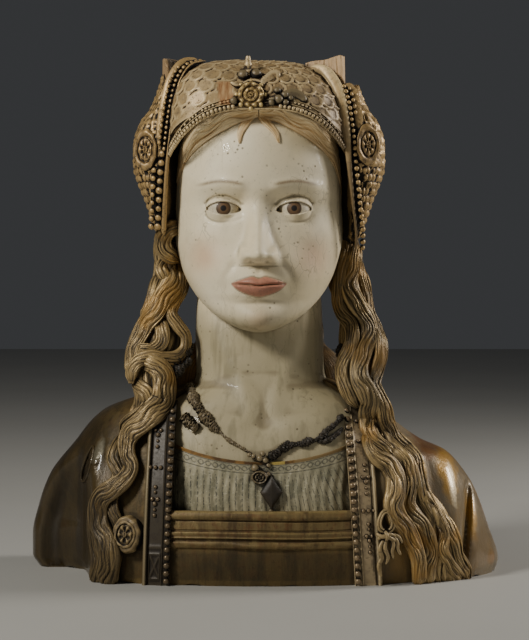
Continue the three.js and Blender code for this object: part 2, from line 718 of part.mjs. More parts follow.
function rosetteBody() {
  const x = -111;
  const z = 43;
  const body = bossBody(rosetteDiameter, rosetteThickness);
  return placed(body, [x, -dressForward(x, z) - 4, z], [-0.35, -1, 0]);
}

function bowBody() {
  const x = 98;
  const top = 62;
  const loop = new THREE.TorusGeometry(bowLength * 0.11, bowLength * 0.06, 5, 8);
  loop.scale(0.85, 1, 1.25);
  const upright = placed(loop.rotateX(0), [0, 0, 0], [0, 1, 0]);
  upright.rotateX(Math.PI / 2);
  const front = (z) => -dressForward(x, z) - 2;
  const pieces = [upright.translate(x, front(top), top)];
  const knot = new THREE.IcosahedronGeometry(bowLength * 0.12, 0);
  pieces.push(knot.scale(1.15, 0.8, 0.75).translate(x, front(top - 13), top - 13));
  for (const spread of [-5, 6]) {
    const line = (along) => {
      const z = mix(top - 14, top - bowLength, along);
      return new THREE.Vector3(x + spread * along, front(z), z);
    };
    const outward = () => new THREE.Vector3(0, -1, 0);
    pieces.push(lockBody({ line, width: 7, thickness: 7, outward, rings: 5, sides: 5 }));
  }
  return pieces;
}

function browJewel() {
  const z = borderHeight(0) + 7;
  const front = -capForward(0, z);
  const boss = bossBody(browJewelDiameter, 7);
  const pieces = [placed(boss, [headOffset, front - 5, z], [0, -1, 0.15])];
  for (const side of [-1, 1]) {
    const pearl = new THREE.IcosahedronGeometry(4, 0);
    pieces.push(pearl.translate(headOffset + side * 5.5, -capForward(0, z + 16) - 4, z + 16));
  }
  const finial = new THREE.CapsuleGeometry(2.8, 9, 2, 6).rotateX(Math.PI / 2);
  pieces.push(finial.translate(headOffset - 2, -capForward(0, z + 24) - 4, z + 27));
  return pieces;
}

function medallionBody(side) {
  const body = bossBody(medallionLength * 0.8, 6, 1.25);
  const x = side * caulReach * 0.9;
  return placed(body, [x, -caulReach * 0.27, eyeLine + 46], [side * 0.75, -1, 0.05]);
}

// The cap's border: a narrow raised rail that follows the edge from temple to temple.
function capBorder() {
  const reach = capHalfWidth - 4;
  const line = (along) => {
    const x = reach * Math.sin((Math.PI / 2) * mix(-1, 1, along));
    const z = borderHeight(x);
    return new THREE.Vector3(x, -capForward(x, z), z + 1);
  };
  return lockBody({
    line,
    width: borderWidth,
    thickness: borderWidth,
    outward: (here) => new THREE.Vector3(here.x, here.y, 0).normalize(),
    rings: 12,
    sides: 5,
  });
}

const solids = [];
const add = (...geometries) => solids.push(...geometries.map(solidFrom));
const onHead = (geometry) => geometry.translate(headOffset, 0, 0);

const cuts = [neckOpening(), ...sleeveCuts.map(sleeveCut)].map(solidFrom);
solids.push(cuts.reduce((dress, cut) => dress.subtract(cut), solidFrom(ringBody(11, 32, torsoPoint))));
add(ringBody(7, 16, chestPoint), chemiseBody());
const head = ringBody(24, 24, headPoint);
add(onHead(head.scale(eyeWidth, eyeWidth, eyeWidth).translate(0, 0, eyeLine)));
add(onHead(ringBody(7, 20, capPoint)), onHead(capBorder()), ringBody(6, 12, backHairPoint));
for (const side of [-1, 1]) {
  add(hairMass(side));
  add(onHead(ringBody(7, 10, (up, around) => caulPoint(side, up, around))), onHead(hornBody(side)));
  add(...hairLocks(side), browLock(side), bandBody(side), beadStrip(side), necklaceBody(side));
  add(onHead(medallionBody(side)));
}
add(...railPlaces.map(railBody), pendantBody(), rosetteBody(), ...bowBody(), ...browJewel());

// Everything is joined, and cut off level at the underside.
const joined = solids.reduce((whole, next) => whole.add(next));
const span = 2 * (shoulderWidth + capTop);
const ground = new THREE.BoxGeometry(span, span, span).translate(0, 0, -span / 2);
const carving = outerSkin(joined.subtract(solidFrom(ground)));

// The middle of its box stands over the origin.
carving.computeBoundingBox();
const middle = carving.boundingBox.getCenter(new THREE.Vector3());
carving.translate(-middle.x, -middle.y, 0);

const bust = new THREE.Mesh(
  carving,
  new THREE.MeshStandardMaterial({ color: 0x9a7f4e, roughness: 0.5, metalness: 0.3 }),
);
bust.name = "bust";

const part = new THREE.Group();
part.add(bust);
export default part;
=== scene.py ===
import math

import bpy
import numpy as np
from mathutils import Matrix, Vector


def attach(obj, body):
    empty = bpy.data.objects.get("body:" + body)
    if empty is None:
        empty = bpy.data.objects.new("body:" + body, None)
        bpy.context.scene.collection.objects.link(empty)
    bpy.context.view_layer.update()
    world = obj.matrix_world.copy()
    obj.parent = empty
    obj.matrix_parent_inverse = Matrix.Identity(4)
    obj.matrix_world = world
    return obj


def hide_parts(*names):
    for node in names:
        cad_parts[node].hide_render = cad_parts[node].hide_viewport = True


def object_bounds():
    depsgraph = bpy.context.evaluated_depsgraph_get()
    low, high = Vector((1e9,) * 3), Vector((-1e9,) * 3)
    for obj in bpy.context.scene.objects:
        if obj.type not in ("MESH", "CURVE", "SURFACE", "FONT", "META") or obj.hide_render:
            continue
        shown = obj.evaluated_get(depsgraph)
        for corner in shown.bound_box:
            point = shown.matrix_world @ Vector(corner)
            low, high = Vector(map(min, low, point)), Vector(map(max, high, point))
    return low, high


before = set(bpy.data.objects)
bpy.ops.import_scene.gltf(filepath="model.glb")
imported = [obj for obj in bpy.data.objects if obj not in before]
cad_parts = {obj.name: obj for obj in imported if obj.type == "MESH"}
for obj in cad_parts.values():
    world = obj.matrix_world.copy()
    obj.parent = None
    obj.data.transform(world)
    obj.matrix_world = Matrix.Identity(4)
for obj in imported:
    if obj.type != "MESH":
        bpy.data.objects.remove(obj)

cadLow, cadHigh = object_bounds()
chance = np.random.default_rng(11)
fullTurn = 2 * math.pi

# Forms are worked out in millimetres from the middle of the neck: x to the right, y to the back, z up
sculpt = {
    "noseReach": 103.4,
    "leftReach": 196.95,
    "torsoHeight": 165.0,
    "halfShoulders": 195.0,
    "eyeWidth": 28.0,
    "eyeLine": 298.0,
    "headOffset": -4.5,
}
shift = np.array([cadLow.x * 1000 + sculpt["leftReach"], cadLow.y * 1000 + sculpt["noseReach"], 0.0])
eye = sculpt["eyeWidth"]
eyeLine = sculpt["eyeLine"]
headX = sculpt["headOffset"]
# how fine each body is: its columns round and its rows along
grids = {
    "face": (300, 200),
    "neck": (170, 110),
    "dress": (310, 146),
    "chemise": (80, 150),
    "rails": (130, 120),
    "band": (66, 130),
    "hairMass": (80, 96),
    "outerLock": (24, 110),
    "hairBack": (250, 76),
    "hairNape": (190, 50),
    "browHair": (90, 110),
    "foreLock": (28, 44),
    "cap": (340, 160),
    "caul": (150, 120),
}
lockColumns, lockRowPitch = 46, 1.9  # a front lock has a row for every 1.9 mm of its length


def mixed(a, b, t):
    return a + (b - a) * t


def gauss(x):
    return np.exp(-np.square(x))


def ease(low, high, x):
    t = np.clip((x - low) / (high - low), 0, 1)
    return t * t * (3 - 2 * t)


def hermite(places, values, tangents, at):
    at = np.clip(np.asarray(at, float), places[0], places[-1])
    i = np.clip(np.searchsorted(places, at, side="right") - 1, 0, len(places) - 2)
    span = places[i + 1] - places[i]
    t = (at - places[i]) / span
    return (
        (2 * t**3 - 3 * t**2 + 1) * values[i]
        + (t**3 - 2 * t**2 + t) * span * tangents[i]
        + (3 * t**2 - 2 * t**3) * values[i + 1]
        + (t**3 - t**2) * span * tangents[i + 1]
    )


def curve(pairs, at):
    # a smooth line through [place, value] pairs, with no overshoot between them
    places, values = np.array(pairs, float).T
    slopes = np.diff(values) / np.diff(places)
    tangents = np.concatenate([slopes[:1], slopes[1:], slopes[-1:]])
    both = slopes[:-1] * slopes[1:]
    total = np.where(both > 0, slopes[:-1] + slopes[1:], 1)
    tangents[1:-1] = np.where(both > 0, 2 * both / total, 0)
    return hermite(places, values, tangents, at)


def curveOf(rows, column, at):
    # the same through one column of a table that has the places in its first
    return curve([(row[0], row[column]) for row in rows], at)


def flowing(places, values, at):
    # a loose, swinging line through the values
    tangents = np.gradient(values, places)
    return hermite(places, values, tangents, at)


def lengthsAlong(line):
    # how far along the line each of its points lies
    return np.concatenate([[0], np.cumsum(np.linalg.norm(np.diff(line, axis=0), axis=1))])


def pointsAt(at, places, line):
    return np.stack([np.interp(at, places, line[:, k]) for k in range(3)], axis=1)


def swung(at, places, line):
    return np.stack([flowing(places, line[:, k], at) for k in range(3)], axis=1)


def swungLine(points, count):
    # a loose line of many points through a few
    return swung(np.linspace(0, 1, count), np.linspace(0, 1, len(points)), np.array(points, float))


def roundness(x, halfWidth, power):
    return np.maximum(0, 1 - (np.abs(x) / halfWidth) ** power) ** (1 / power)


def frontAndBack(around, share):
    # which spots lie on a strip's front, and how far across it they lie: the back runs the other way
    front = around < share
    return front, np.where(front, around / share, 1 - (around - share) / (1 - share))


def smoothMax(a, b, soft):
    h = np.clip(0.5 + 0.5 * (a - b) / soft, 0, 1)
    return mixed(b, a, h) + soft * h * (1 - h)


def unit(v):
    return v / np.maximum(np.linalg.norm(v, axis=-1, keepdims=True), 1e-9)


def place(points):
    return (np.asarray(points, float) + shift) / 1000


def pointsOf(piece):
    points = np.empty(len(piece.data.vertices) * 3, np.float32)
    piece.data.vertices.foreach_get("co", points)
    return points.reshape(-1, 3).astype(float)


def normalsOf(piece):
    normals = np.empty(len(piece.data.vertices) * 3, np.float32)
    piece.data.vertices.foreach_get("normal", normals)
    return normals.reshape(-1, 3).astype(float)


def setPoints(piece, points):
    piece.data.vertices.foreach_set("co", np.ascontiguousarray(points, np.float32).ravel())
    piece.data.update()


def attribute(piece, name, values=None):
    layer = piece.data.attributes.get(name) or piece.data.attributes.new(name, "FLOAT", "POINT")
    if values is not None:
        layer.data.foreach_set("value", np.ascontiguousarray(values, np.float32))
        return values
    values = np.empty(len(piece.data.vertices), np.float32)
    layer.data.foreach_get("value", values)
    return values.astype(float)


def onlySelect(*objects):
    if bpy.context.object and bpy.context.object.mode != "OBJECT":
        bpy.ops.object.mode_set(mode="OBJECT")
    bpy.ops.object.select_all(action="DESELECT")
    for each in objects:
        each.select_set(True)
    if objects:
        bpy.context.view_layer.objects.active = objects[0]


def closeUp(piece, angle=50):
    # seams and poles are merged, faces turned outwards, and soft edges shaded smooth
    onlySelect(piece)
    bpy.ops.object.mode_set(mode="EDIT")
    bpy.ops.mesh.select_all(action="SELECT")
    bpy.ops.mesh.remove_doubles(threshold=0.000002)
    bpy.ops.mesh.dissolve_degenerate(threshold=0.000001)
    bpy.ops.mesh.normals_make_consistent(inside=False)
    bpy.ops.object.mode_set(mode="OBJECT")
    bpy.ops.object.shade_smooth_by_angle(angle=math.radians(angle))


def wrap(name, columns, rows, form, caps=3, angle=50):
    # a sheet rolled into a closed body: form takes the share around and the share along
    onlySelect()
    bpy.ops.mesh.primitive_grid_add(x_subdivisions=columns, y_subdivisions=rows, size=2)
    piece = bpy.context.object
    piece.name = name
    sheet = pointsOf(piece)
    column = np.rint((sheet[:, 0] + 1) / 2 * columns)
    row = np.rint((1 - sheet[:, 1]) / 2 * rows)
    around = column / columns % 1
    along = np.clip((row - caps) / (rows - 2 * caps), 0, 1)
    points = form(around, along)
    for end, step in ((0, 1), (rows, -1)):
        middle = points[row == end + step * caps].mean(axis=0)
        for k in range(caps):
            ring = row == end + step * k
            points[ring] = mixed(middle, points[ring], k / caps)
    points[:, 2] = np.maximum(points[:, 2], 0)
    setPoints(piece, place(points))
    attribute(piece, "around", around)
    attribute(piece, "along", along)
    closeUp(piece, angle)
    return piece


def emboss(piece, height):
    # height is in millimetres along the surface's own normal
    raised = height(attribute(piece, "around"), attribute(piece, "along"), pointsOf(piece) * 1000 - shift)
    points = pointsOf(piece) + normalsOf(piece) * raised[:, None] / 1000
    points[:, 2] = np.maximum(points[:, 2], 0)
    setPoints(piece, points)


def joined(name, parts):
    onlySelect(*parts)
    bpy.ops.object.join()
    piece = bpy.context.object
    piece.name = name
    return piece


def copies(model, spots):
    # each spot: place in millimetres, size, and the way its front faces
    made = []
    for at, size, facing in spots:
        twin = model.copy()
        twin.data = model.data.copy()
        bpy.context.scene.collection.objects.link(twin)
        twin.location = Vector(place(at))
        twin.scale = (size, size, size) if np.isscalar(size) else size
        twin.rotation_euler = Vector(facing).to_track_quat("-Y", "Z").to_euler()
        onlySelect(twin)
        bpy.ops.object.transform_apply(location=True, rotation=True, scale=True)
        made.append(twin)
    return made


def discard(piece):
    bpy.data.objects.remove(piece)


def bead(radius, flat=0.85, segments=14, rings=8):
    onlySelect()
    bpy.ops.mesh.primitive_uv_sphere_add(segments=segments, ring_count=rings, radius=radius / 1000)
    bpy.ops.object.mode_set(mode="EDIT")
    bpy.ops.transform.resize(value=(1, flat, 1))
    bpy.ops.object.mode_set(mode="OBJECT")
    bpy.ops.object.shade_smooth()
    return bpy.context.object


def tubeAlong(name, line, radius, columns=12, step=1.2, angle=60):
    # a closed tube of varying radius along a dense line of points
    line = np.asarray(line, float)
    length = lengthsAlong(line)
    rows = max(8, int(length[-1] / step)) + 4

    def form(around, along):
        s = along * length[-1]
        here, ahead, behind = (pointsAt(s + off, length, line) for off in (0, 0.5, -0.5))
        tangent = unit(ahead - behind)
        up = np.tile([0.0, -1.0, 0.0], (len(s), 1))
        up = unit(up - tangent * (up * tangent).sum(axis=1, keepdims=True))
        across = np.cross(tangent, up)
        r = radius(s / length[-1], around)[:, None] if callable(radius) else radius
        a = fullTurn * around[:, None]
        return here + (across * np.cos(a) + up * np.sin(a)) * r

    return wrap(name, columns, rows, form, caps=2, angle=angle)


def flatRadius(widths, thickness):
    # an oval section: half its width at each share of the length, and how thick it is against that
    def radius(along, around):
        wide = curve(widths, along)
        angle = fullTurn * around
        taper = np.sqrt(np.clip(np.minimum(along, 1 - along) * 40, 0.1, 1))
        return taper / np.sqrt((np.cos(angle) / wide) ** 2 + (np.sin(angle) / thickness) ** 2)

    return radius


def finish(piece, material):
    piece.data.materials.clear()
    piece.data.materials.append(material)
    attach(piece, "root")
    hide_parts("bust")
    finished.append(piece)
    print(piece.name, "made,", len(piece.data.polygons), "faces")


finished = []

# Torso: the sleeves' outline is a share of half the shoulder width at a share of the torso's height
torso = {
    "front": 94.0,
    "back": 86.0,
    "widestPlane": 8.0,
    "frontPower": 1.95,
    "leftBackPower": 5,
    "rightBackPower": 2.5,
    "leftSetBack": 53.0,
    "rimSetBack": 28.0,
    "leftOutline": [
        (0, 0.98), (0.06, 1.01), (0.16, 1.01), (0.32, 0.98), (0.48, 0.925), (0.65, 0.812), (0.8, 0.7),
        (0.89, 0.5), (0.95, 0.35), (1, 0.23),
    ],
    "rightOutline": [
        (0, 0.985), (0.06, 1), (0.21, 0.962), (0.43, 0.892), (0.51, 0.849), (0.6, 0.78), (0.66, 0.67),
        (0.76, 0.55), (0.88, 0.42), (0.95, 0.34), (1, 0.23),
    ],
    "frontOutline": [(0, 0.97), (0.15, 1), (0.4, 0.98), (0.6, 0.9), (0.8, 0.76), (1, 0.58)],
    "backOutline": [(0, 1), (0.3, 1.02), (0.6, 0.93), (0.8, 0.8), (1, 0.6)],
}
# the square neckline: half its width at the sill on each side, and how it spreads below
opening = {"left": 73.5, "right": 68.2, "leftSpread": 0.034, "rightSpread": 0.062, "sill": 58.5}
# soft swellings of the sleeves: [proud, across, lean, height it leans about, half width, height, half height]
sleeveSwells = {
    -1: [(3.5, -160, 0, 0, 12, 70, 55), (2.6, -127, 0, 0, 3.4, 104, 8), (2.4, -176, 0, 0, 9, 40, 40)],
    1: [(5, 153, -0.12, 70, 8, 72, 42), (-3, 133, -0.1, 70, 7, 90, 38), (2.5, 128, -0.35, 118, 6, 112, 14)],
}
slit = {"foot": 77.0, "head": 102.0, "across": (-150, -142), "depth": 4.5, "lip": 3.2}
groove = {"foot": 10.0, "head": 70.0, "across": (161, 168), "depth": 8.0, "swell": 3.6}


def torsoHalfWidth(x, z):
    up = z / sculpt["torsoHeight"]
    left, right = curve(torso["leftOutline"], up), curve(torso["rightOutline"], up)
    return sculpt["halfShoulders"] * np.where(x < 0, left, right)


def sleeveFolds(x, z):
    # soft swellings, the lens-shaped slit on the left sleeve and the long groove on the right one
    left, right = (
        sum(proud * gauss((x - across - lean * (z - about)) / half) * gauss((z - height) / tall)
            for proud, across, lean, about, half, height, tall in sleeveSwells[side])
        for side in (-1, 1)
    )
    fromSlit = x - mixed(*slit["across"], np.clip((z - slit["foot"]) / (slit["head"] - slit["foot"]), 0, 1))
    lens = ease(0, 0.25, (z - 74) / 30) * ease(1, 0.7, (z - 74) / 30)
    lip = slit["lip"] * gauss((fromSlit - 7) / 2.6) * gauss((z - 94) / 16)
    left += lip - slit["depth"] * gauss(fromSlit / 2.2) * lens
    height = np.clip((z - groove["foot"]) / (groove["head"] - groove["foot"]), 0, 1)
    fromGroove = x - mixed(*groove["across"], height)
    right -= groove["depth"] * gauss(fromGroove / 2.6) * ease(8, 20, z) * ease(80, 68, z)
    right += groove["swell"] * gauss((fromGroove - 10) / 7) * gauss((z - 45) / 38)
    return ease(0.5, 0.62, np.abs(x) / sculpt["halfShoulders"]) * np.where(x < 0, left, right)


def dressForward(x, z):
    z = np.clip(z, 0, sculpt["torsoHeight"])
    around = roundness(x, torsoHalfWidth(x, z), torso["frontPower"])
    plain = torso["front"] * curve(torso["frontOutline"], z / sculpt["torsoHeight"]) * around
    return plain - torso["widestPlane"] + sleeveFolds(x, z)


def bandInner(x, z):
    above = opening["sill"] - z
    left = opening["left"] + opening["leftSpread"] * above
    return np.where(np.asarray(x) < 0, left, opening["right"] + opening["rightSpread"] * above)


def footShare(x, z):
    # the viewer's left sleeve drops back beside the hair, most of all at its foot
    return (x < 0) * ease(0.76, 0.24, z / sculpt["torsoHeight"])


def sleeveFront(x, z):
    rim = ease(0.88, 1, np.abs(x) / torsoHalfWidth(x, z))
    out = ease(0.7, 0.78, -x / sculpt["halfShoulders"])
    return mixed(torso["leftSetBack"], torso["rimSetBack"], rim) * out * footShare(x, z) - dressForward(x, z)


def sleeveBack(x, z):
    halfWidth = torsoHalfWidth(x, z)
    rim = ease(0.8, 1, np.abs(x) / halfWidth)
    plane = torso["widestPlane"] + torso["rimSetBack"] * footShare(x, z) * rim
    back = torso["widestPlane"] + torso["back"] * curve(torso["backOutline"], z / sculpt["torsoHeight"])
    power = np.where(x < 0, torso["leftBackPower"], torso["rightBackPower"])
    return mixed(plane, back, roundness(x, halfWidth, power))


def dressForm(around, along):
    z = sculpt["torsoHeight"] * (1 - along)
    angle = fullTurn * around
    s = np.sin(angle)
    halfWidth = torsoHalfWidth(s, z)
    x = halfWidth * s
    inside = ease(bandInner(x, z) + 9, bandInner(x, z) + 7, np.abs(x))
    inside = inside * ease(opening["sill"] - 12, opening["sill"] - 10, z)
    front = sleeveFront(x, z) - 4.5 * gauss((x - 97) / 8) * gauss((z - 84) / 28)
    front = mixed(front, np.maximum(front, -25), inside)
    backFolds = 1.6 * np.cos(x / 11 + z / 60) - 1.6
    back = sleeveBack(x, z) + backFolds * ease(0.15, 0.5, -np.cos(angle)) * ease(165, 120, z)
    y = np.where(np.cos(angle) >= 0, front, back)
    nicks = 1.2 * np.cos(31 * around * 6.283) * np.cos(13 * around * 6.283 + 1) * (np.abs(z) < 0.5)
    return np.stack([x, y, np.maximum(z + np.maximum(nicks, 0), 0)], axis=1)


# Chest and neck: [height, reach forward] and [height, half width]
chest = {
    "top": 247.0,
    "front": [(30, 75), (68, 74.5), (108, 69), (140, 57.6), (167, 49.2), (205, 46), (247, 34)],
    "width": [
        (30, 84), (119, 84), (140, 75.8), (151, 64), (158, 56.2), (167, 53.5), (205, 52.5), (232, 51),
        (247, 44),
    ],
    "back": 48.0,
}


def chestForward(x, z):
    halfWidth = curve(chest["width"], z)
    plain = curve(chest["front"], z) * roundness(x, halfWidth, mixed(2.3, 3.7, ease(158, 138, z)))
    a = np.abs(x)
    collarBones = 1.5 * gauss((z - 124 - 0.14 * a) / 6) * ease(8, 22, a) * ease(60, 45, a)
    notch = -2.4 * gauss((z - 129) / 8) * gauss(x / 8)
    cords = 1.6 * gauss((a - mixed(9, 38, ease(132, 215, z))) / 7) * ease(126, 140, z)
    creases = -0.35 * gauss((z - 168 + 0.006 * x**2) / 3) - 0.25 * gauss((z - 184 + 0.008 * x**2) / 3)
    return plain + collarBones + notch + cords + creases


def chestForm(around, along):
    z = mixed(chest["top"], opening["sill"] / 2, along)
    angle = fullTurn * around
    x = curve(chest["width"], z) * np.sin(angle)
    y = np.where(np.cos(angle) >= 0, -chestForward(x, z), chest["back"] * -np.cos(angle))
    return np.stack([x + headX * ease(99, 200, z), y + 10 * ease(215, 247, z), z], axis=1)


# Head: heights and reaches in eye widths from the eye line and the middle of the head
head = {
    "midline": [
        (-3.5, 2.2), (-3.42, 2.56), (-3.25, 2.82), (-3, 2.92), (-2.64, 2.88), (-2.36, 2.95), (-1.96, 2.99),
        (-1.446, 2.92), (-0.9, 2.82), (-0.4, 2.77), (0.1, 2.78), (0.607, 2.93), (0.96, 2.95),
    ],
    "widestPlane": [(-3.5, 2.1), (-3.2, 1.85), (-2.6, 1.15), (-2.1, 0.72), (-1.3, 0.3), (0, 0.18), (1.5, 0)],
    "back": [(-3.5, -1.8), (-3, -0.7), (-2.6, 0.3), (-2.1, 1.3), (-1.3, 2.6), (-0.6, 3.1), (0.6, 3.3)],
    "rows": [(0, 3.49), (0.05, 2.9), (0.3, 0.75), (0.52, -0.5), (0.88, -2.7), (0.965, -3.3), (1, -3.49)],
    # soft forms of the face in millimetres: [proud, across, half width, height, half height]
    "swells": [
        (-6, 27, 15, 301, 10), (-3.4, 13, 6, 304, 8), (2.5, 48, 16, 276, 13), (2, 36, 14, 252, 14),
        (2.5, 0, 20, 240, 13), (3, 0, 13, 212, 9), (-2.2, 0, 15, 225, 4), (-0.8, 24, 4, 237, 6),
    ],
}
nose = {
    "ridge": [
        (253, 0), (255, 5.6), (257.5, 16), (260, 21.6), (263, 23.1), (266, 22.4), (272, 19), (280, 13.6),
        (290, 7.6), (298, 3), (306, 0.6), (312, 0),
    ],
    "halfWidth": [
        (254, 12.5), (262, 10.8), (268, 9), (278, 7.4), (290, 6.8), (298, 7.4), (306, 9.5), (312, 12),
    ],
}
lips = {"line": 238.3, "halfWidth": 22.0, "upper": 7.2, "lower": 8.8, "upperProud": 3.8, "lowerProud": 4.6}
eyes = {
    "apart": 28.0,
    "height": 298.5,
    "halfWidth": 14.0,
    "gazeRise": 0.4,
    "ball": 12.8,
    "lid": 14.3,
    "centre": 60.7,
}


def headHalfWidth(up):
    above = np.maximum(0, 1 - (np.maximum(up, 0) / 3.5) ** 3.2) ** (1 / 2.2)
    below = np.maximum(0, 1 - (np.maximum(-up, 0) / 3.5) ** 2.5) ** 0.6
    return 2.5 * np.where(up > 0, above, below)


def headMidline(up):
    crown = 2.95 * np.maximum(0, 1 - (np.maximum(0, up - 0.75) / 2.78) ** 2.6) ** (1 / 2.3)
    return np.where(up > 0.96, crown, curve(head["midline"], up))


def browLine(a):
    return 316.5 + 3.5 * gauss((a - 30) / 16)


def lidLines(a):
    t = np.clip((a - eyes["apart"]) / eyes["halfWidth"], -1, 1)
    upper = eyes["height"] - 0.2 + 5.6 * (1 - t**2) ** 0.75 + 0.5 * t
    lower = eyes["height"] - 0.6 - 3.9 * (1 - t**2) ** 0.8 + 0.5 * t
    return upper, lower


def eyeOpening(x, z):
    a = np.abs(x)
    upper, lower = lidLines(a)
    inside = np.where(np.abs(a - eyes["apart"]) < eyes["halfWidth"], np.minimum(upper - z, z - lower), -5)
    return ease(-0.4, 0.4, inside)


def mouthShape(x, z):
    s = np.clip(np.abs(x) / lips["halfWidth"], 0, 1)
    line = lips["line"] + 1.0 * s**2 - 0.8 * gauss(x / 5)
    peaks = 1 - 0.17 * gauss(x / 2.8) + 0.05 * gauss((np.abs(x) - 6) / 3)
    topEdge = line + lips["upper"] * peaks * (1 - s**1.6) ** 0.95
    lowEdge = line - lips["lower"] * (1 - s**2.1) ** 0.8
    upperT = np.clip((z - line) / np.maximum(topEdge - line, 0.3), 0, 1)
    lowerT = np.clip((line - z) / np.maximum(line - lowEdge, 0.3), 0, 1)
    upper = np.where(z >= line, lips["upperProud"] * (1 - upperT**2.4) ** 0.9, 0)
    lower = np.where(z < line, lips["lowerProud"] * (1 - lowerT**2.2) ** 0.9, 0)
    full = (0.3 + 0.7 * (1 - s**2)) * ease(1.0, 0.8, s)
    parting = -3.0 * gauss((z - line) / 0.9) * (1 - 0.6 * s**4) * ease(1.02, 0.85, s)
    inside = np.minimum(topEdge - z, z - lowEdge)
    return (upper + lower) * full + parting, np.where(s < 0.99, ease(-0.7, 0.5, inside), 0)


def faceForward(x, z):
    a = np.abs(x)
    up = (z - eyeLine) / eye
    plane = curve(head["widestPlane"], up) * eye
    skin = plane + (headMidline(up) * eye - plane) * roundness(x, headHalfWidth(up) * eye, 2.15)
    fade = ease(-3.5, -3.3, up) * ease(3, 2.4, up)
    form = sum(proud * gauss((a - across) / half) * gauss((z - height) / tall)
               for proud, across, half, height, tall in head["swells"])
    form += 1.9 * gauss((z - browLine(a) + 1.5) / 4.5) * ease(6, 16, a) * ease(58, 44, a)
    form += -1.1 * gauss(a / 2.8) * ease(245, 249, z) * ease(257, 252, z)
    form += -0.9 * gauss((a - mixed(27, 17, ease(240, 262, z))) / 3.4) * ease(234, 246, z) * ease(268, 258, z)
    skin = skin + form * fade
    # eyes
    dx, dz = a - eyes["apart"], z - eyes["height"]
    lid = eyes["centre"] + np.sqrt(np.maximum(0, eyes["lid"] ** 2 - dx**2 - dz**2))
    ball = eyes["centre"] + np.sqrt(np.maximum(0, eyes["ball"] ** 2 - dx**2 - dz**2))
    upper, lower = lidLines(a)
    wide = ease(1.25, 0.95, np.abs(dx / eyes["halfWidth"]))
    skin = np.where(dx**2 + dz**2 < eyes["lid"] ** 2 * 0.999, smoothMax(skin, lid, 2.2), skin)
    skin = skin - 1.3 * gauss((z - upper - 4.6) / 1.2) * wide
    skin = skin + 0.5 * gauss((z - upper - 0.9) / 0.8) * wide + 0.45 * gauss((z - lower + 0.9) / 0.8) * wide
    skin = skin - 0.5 * gauss((z - lower + 6) / 1.6) * wide
    skin = mixed(skin, ball, eyeOpening(x, z))
    # nose: ridge, wings and nostrils
    skin = skin + curve(nose["ridge"], z) * np.exp(-((a / curve(nose["halfWidth"], z)) ** 2.2)) * (z > 253)
    under = ease(254.6, 259.6, z)
    skin = skin + 6.8 * gauss((a - 11.2) / 3.9) * gauss((z - 262.3) / 4.6) * under
    skin = skin - 3.2 * gauss((a - 6.2) / 2.6) * gauss((z - 257) / 1.9)
    skin = skin - 0.9 * gauss((a - 15.4) / 1.6) * gauss((z - 263.5) / 4.6)
    relief, _ = mouthShape(x, z)
    return skin + relief


def skullBack(up):
    crown = np.maximum(0, 1 - (np.maximum(0, up) / 3.5) ** 2.6) ** 0.5
    return curve(head["back"], up) * crown * eye


def headForm(around, along):
    up = curve(head["rows"], along)
    turn = np.where(around < 0.5, around * 2, (1 - around) * 2)
    side = np.where(around < 0.5, 1, -1)
    front = 0.84
    halfWidth = headHalfWidth(up) * eye
    t = np.clip(turn / front, 0, 1)
    across = halfWidth * np.sin(math.pi / 2 * mixed(t * t, t, 0.8))
    z = eyeLine + up * eye
    angle = math.pi / 2 * np.clip((turn - front) / (1 - front), 0, 1)
    plane = curve(head["widestPlane"], up) * eye
    back = skullBack(up)
    x = np.where(turn <= front, across, halfWidth * np.cos(angle)) * side
    y = np.where(turn <= front, -faceForward(across, z), -plane + (back + plane) * np.sin(angle))
    return np.stack([x + headX, y, z], axis=1)


# Chemise: the patterned shift inside the square neckline, its upper edge sagging in the middle
chemise = {"top": 112.0, "dip": 14.0, "proud": 2.2, "thickness": 12.0, "front": 0.72}


def chemiseEdge(x):
    half = np.where(x < 0, opening["left"], opening["right"])
    return chemise["top"] - chemise["dip"] * (1 - (x / half) ** 2)


def chemiseForm(around, along):
    x = mixed(-opening["left"] - 3, opening["right"] + 3, along)
    front, level = frontAndBack(around, chemise["front"])
    z = mixed(opening["sill"] - 8, chemiseEdge(x), level)
    hem = 0.9 * ease(0.955, 0.97, level) * front
    gathers = 0.45 * np.cos(x * 0.9 + 1.5 * np.sin(z / 9)) * ease(1, 0.6, level) * front
    forward = chestForward(x, z) + chemise["proud"] + hem + gathers
    y = -np.where(front, forward, forward - chemise["thickness"])
    return np.stack([x, y, z], axis=1)


# Rails: the folded hem and the level mouldings across the dress front
rails = {
    "low": 22.0,
    "high": 59.8,
    "front": 0.78,
    "thickness": 12.0,
    "profile": [
        (22, -1), (28, -0.4), (29.2, 0.2), (31, 2.6), (33.4, 3.4), (35.4, 2.6), (36.4, 1.1), (37.2, 1.3),
        (38.6, 3.4), (39.8, 3.1), (41, 3.6), (42.6, 3.9), (43.8, 2.6), (44.5, 1.7), (45.3, 2.3), (51, 2.5),
        (51.9, 1.9), (53.2, 3.8), (56, 5), (58.2, 4.4), (59.8, 2.4),
    ],
}


def railsForm(around, along):
    front, level = frontAndBack(around, rails["front"])
    z = mixed(rails["low"], rails["high"], level)
    x = mixed(-bandInner(-1, z) - 4, bandInner(1, z) + 4, along)
    wobble = 0.8 * np.cos(x / 17) * gauss((z - 32) / 3) + 0.4 * np.cos(x / 6 + 2) * gauss((z - 33) / 2)
    forward = dressForward(x, z) + curve(rails["profile"], z + 0.35 * np.sin(x / 23)) + wobble
    y = -np.where(front, forward, forward - rails["thickness"])
    return np.stack([x, y, z], axis=1)


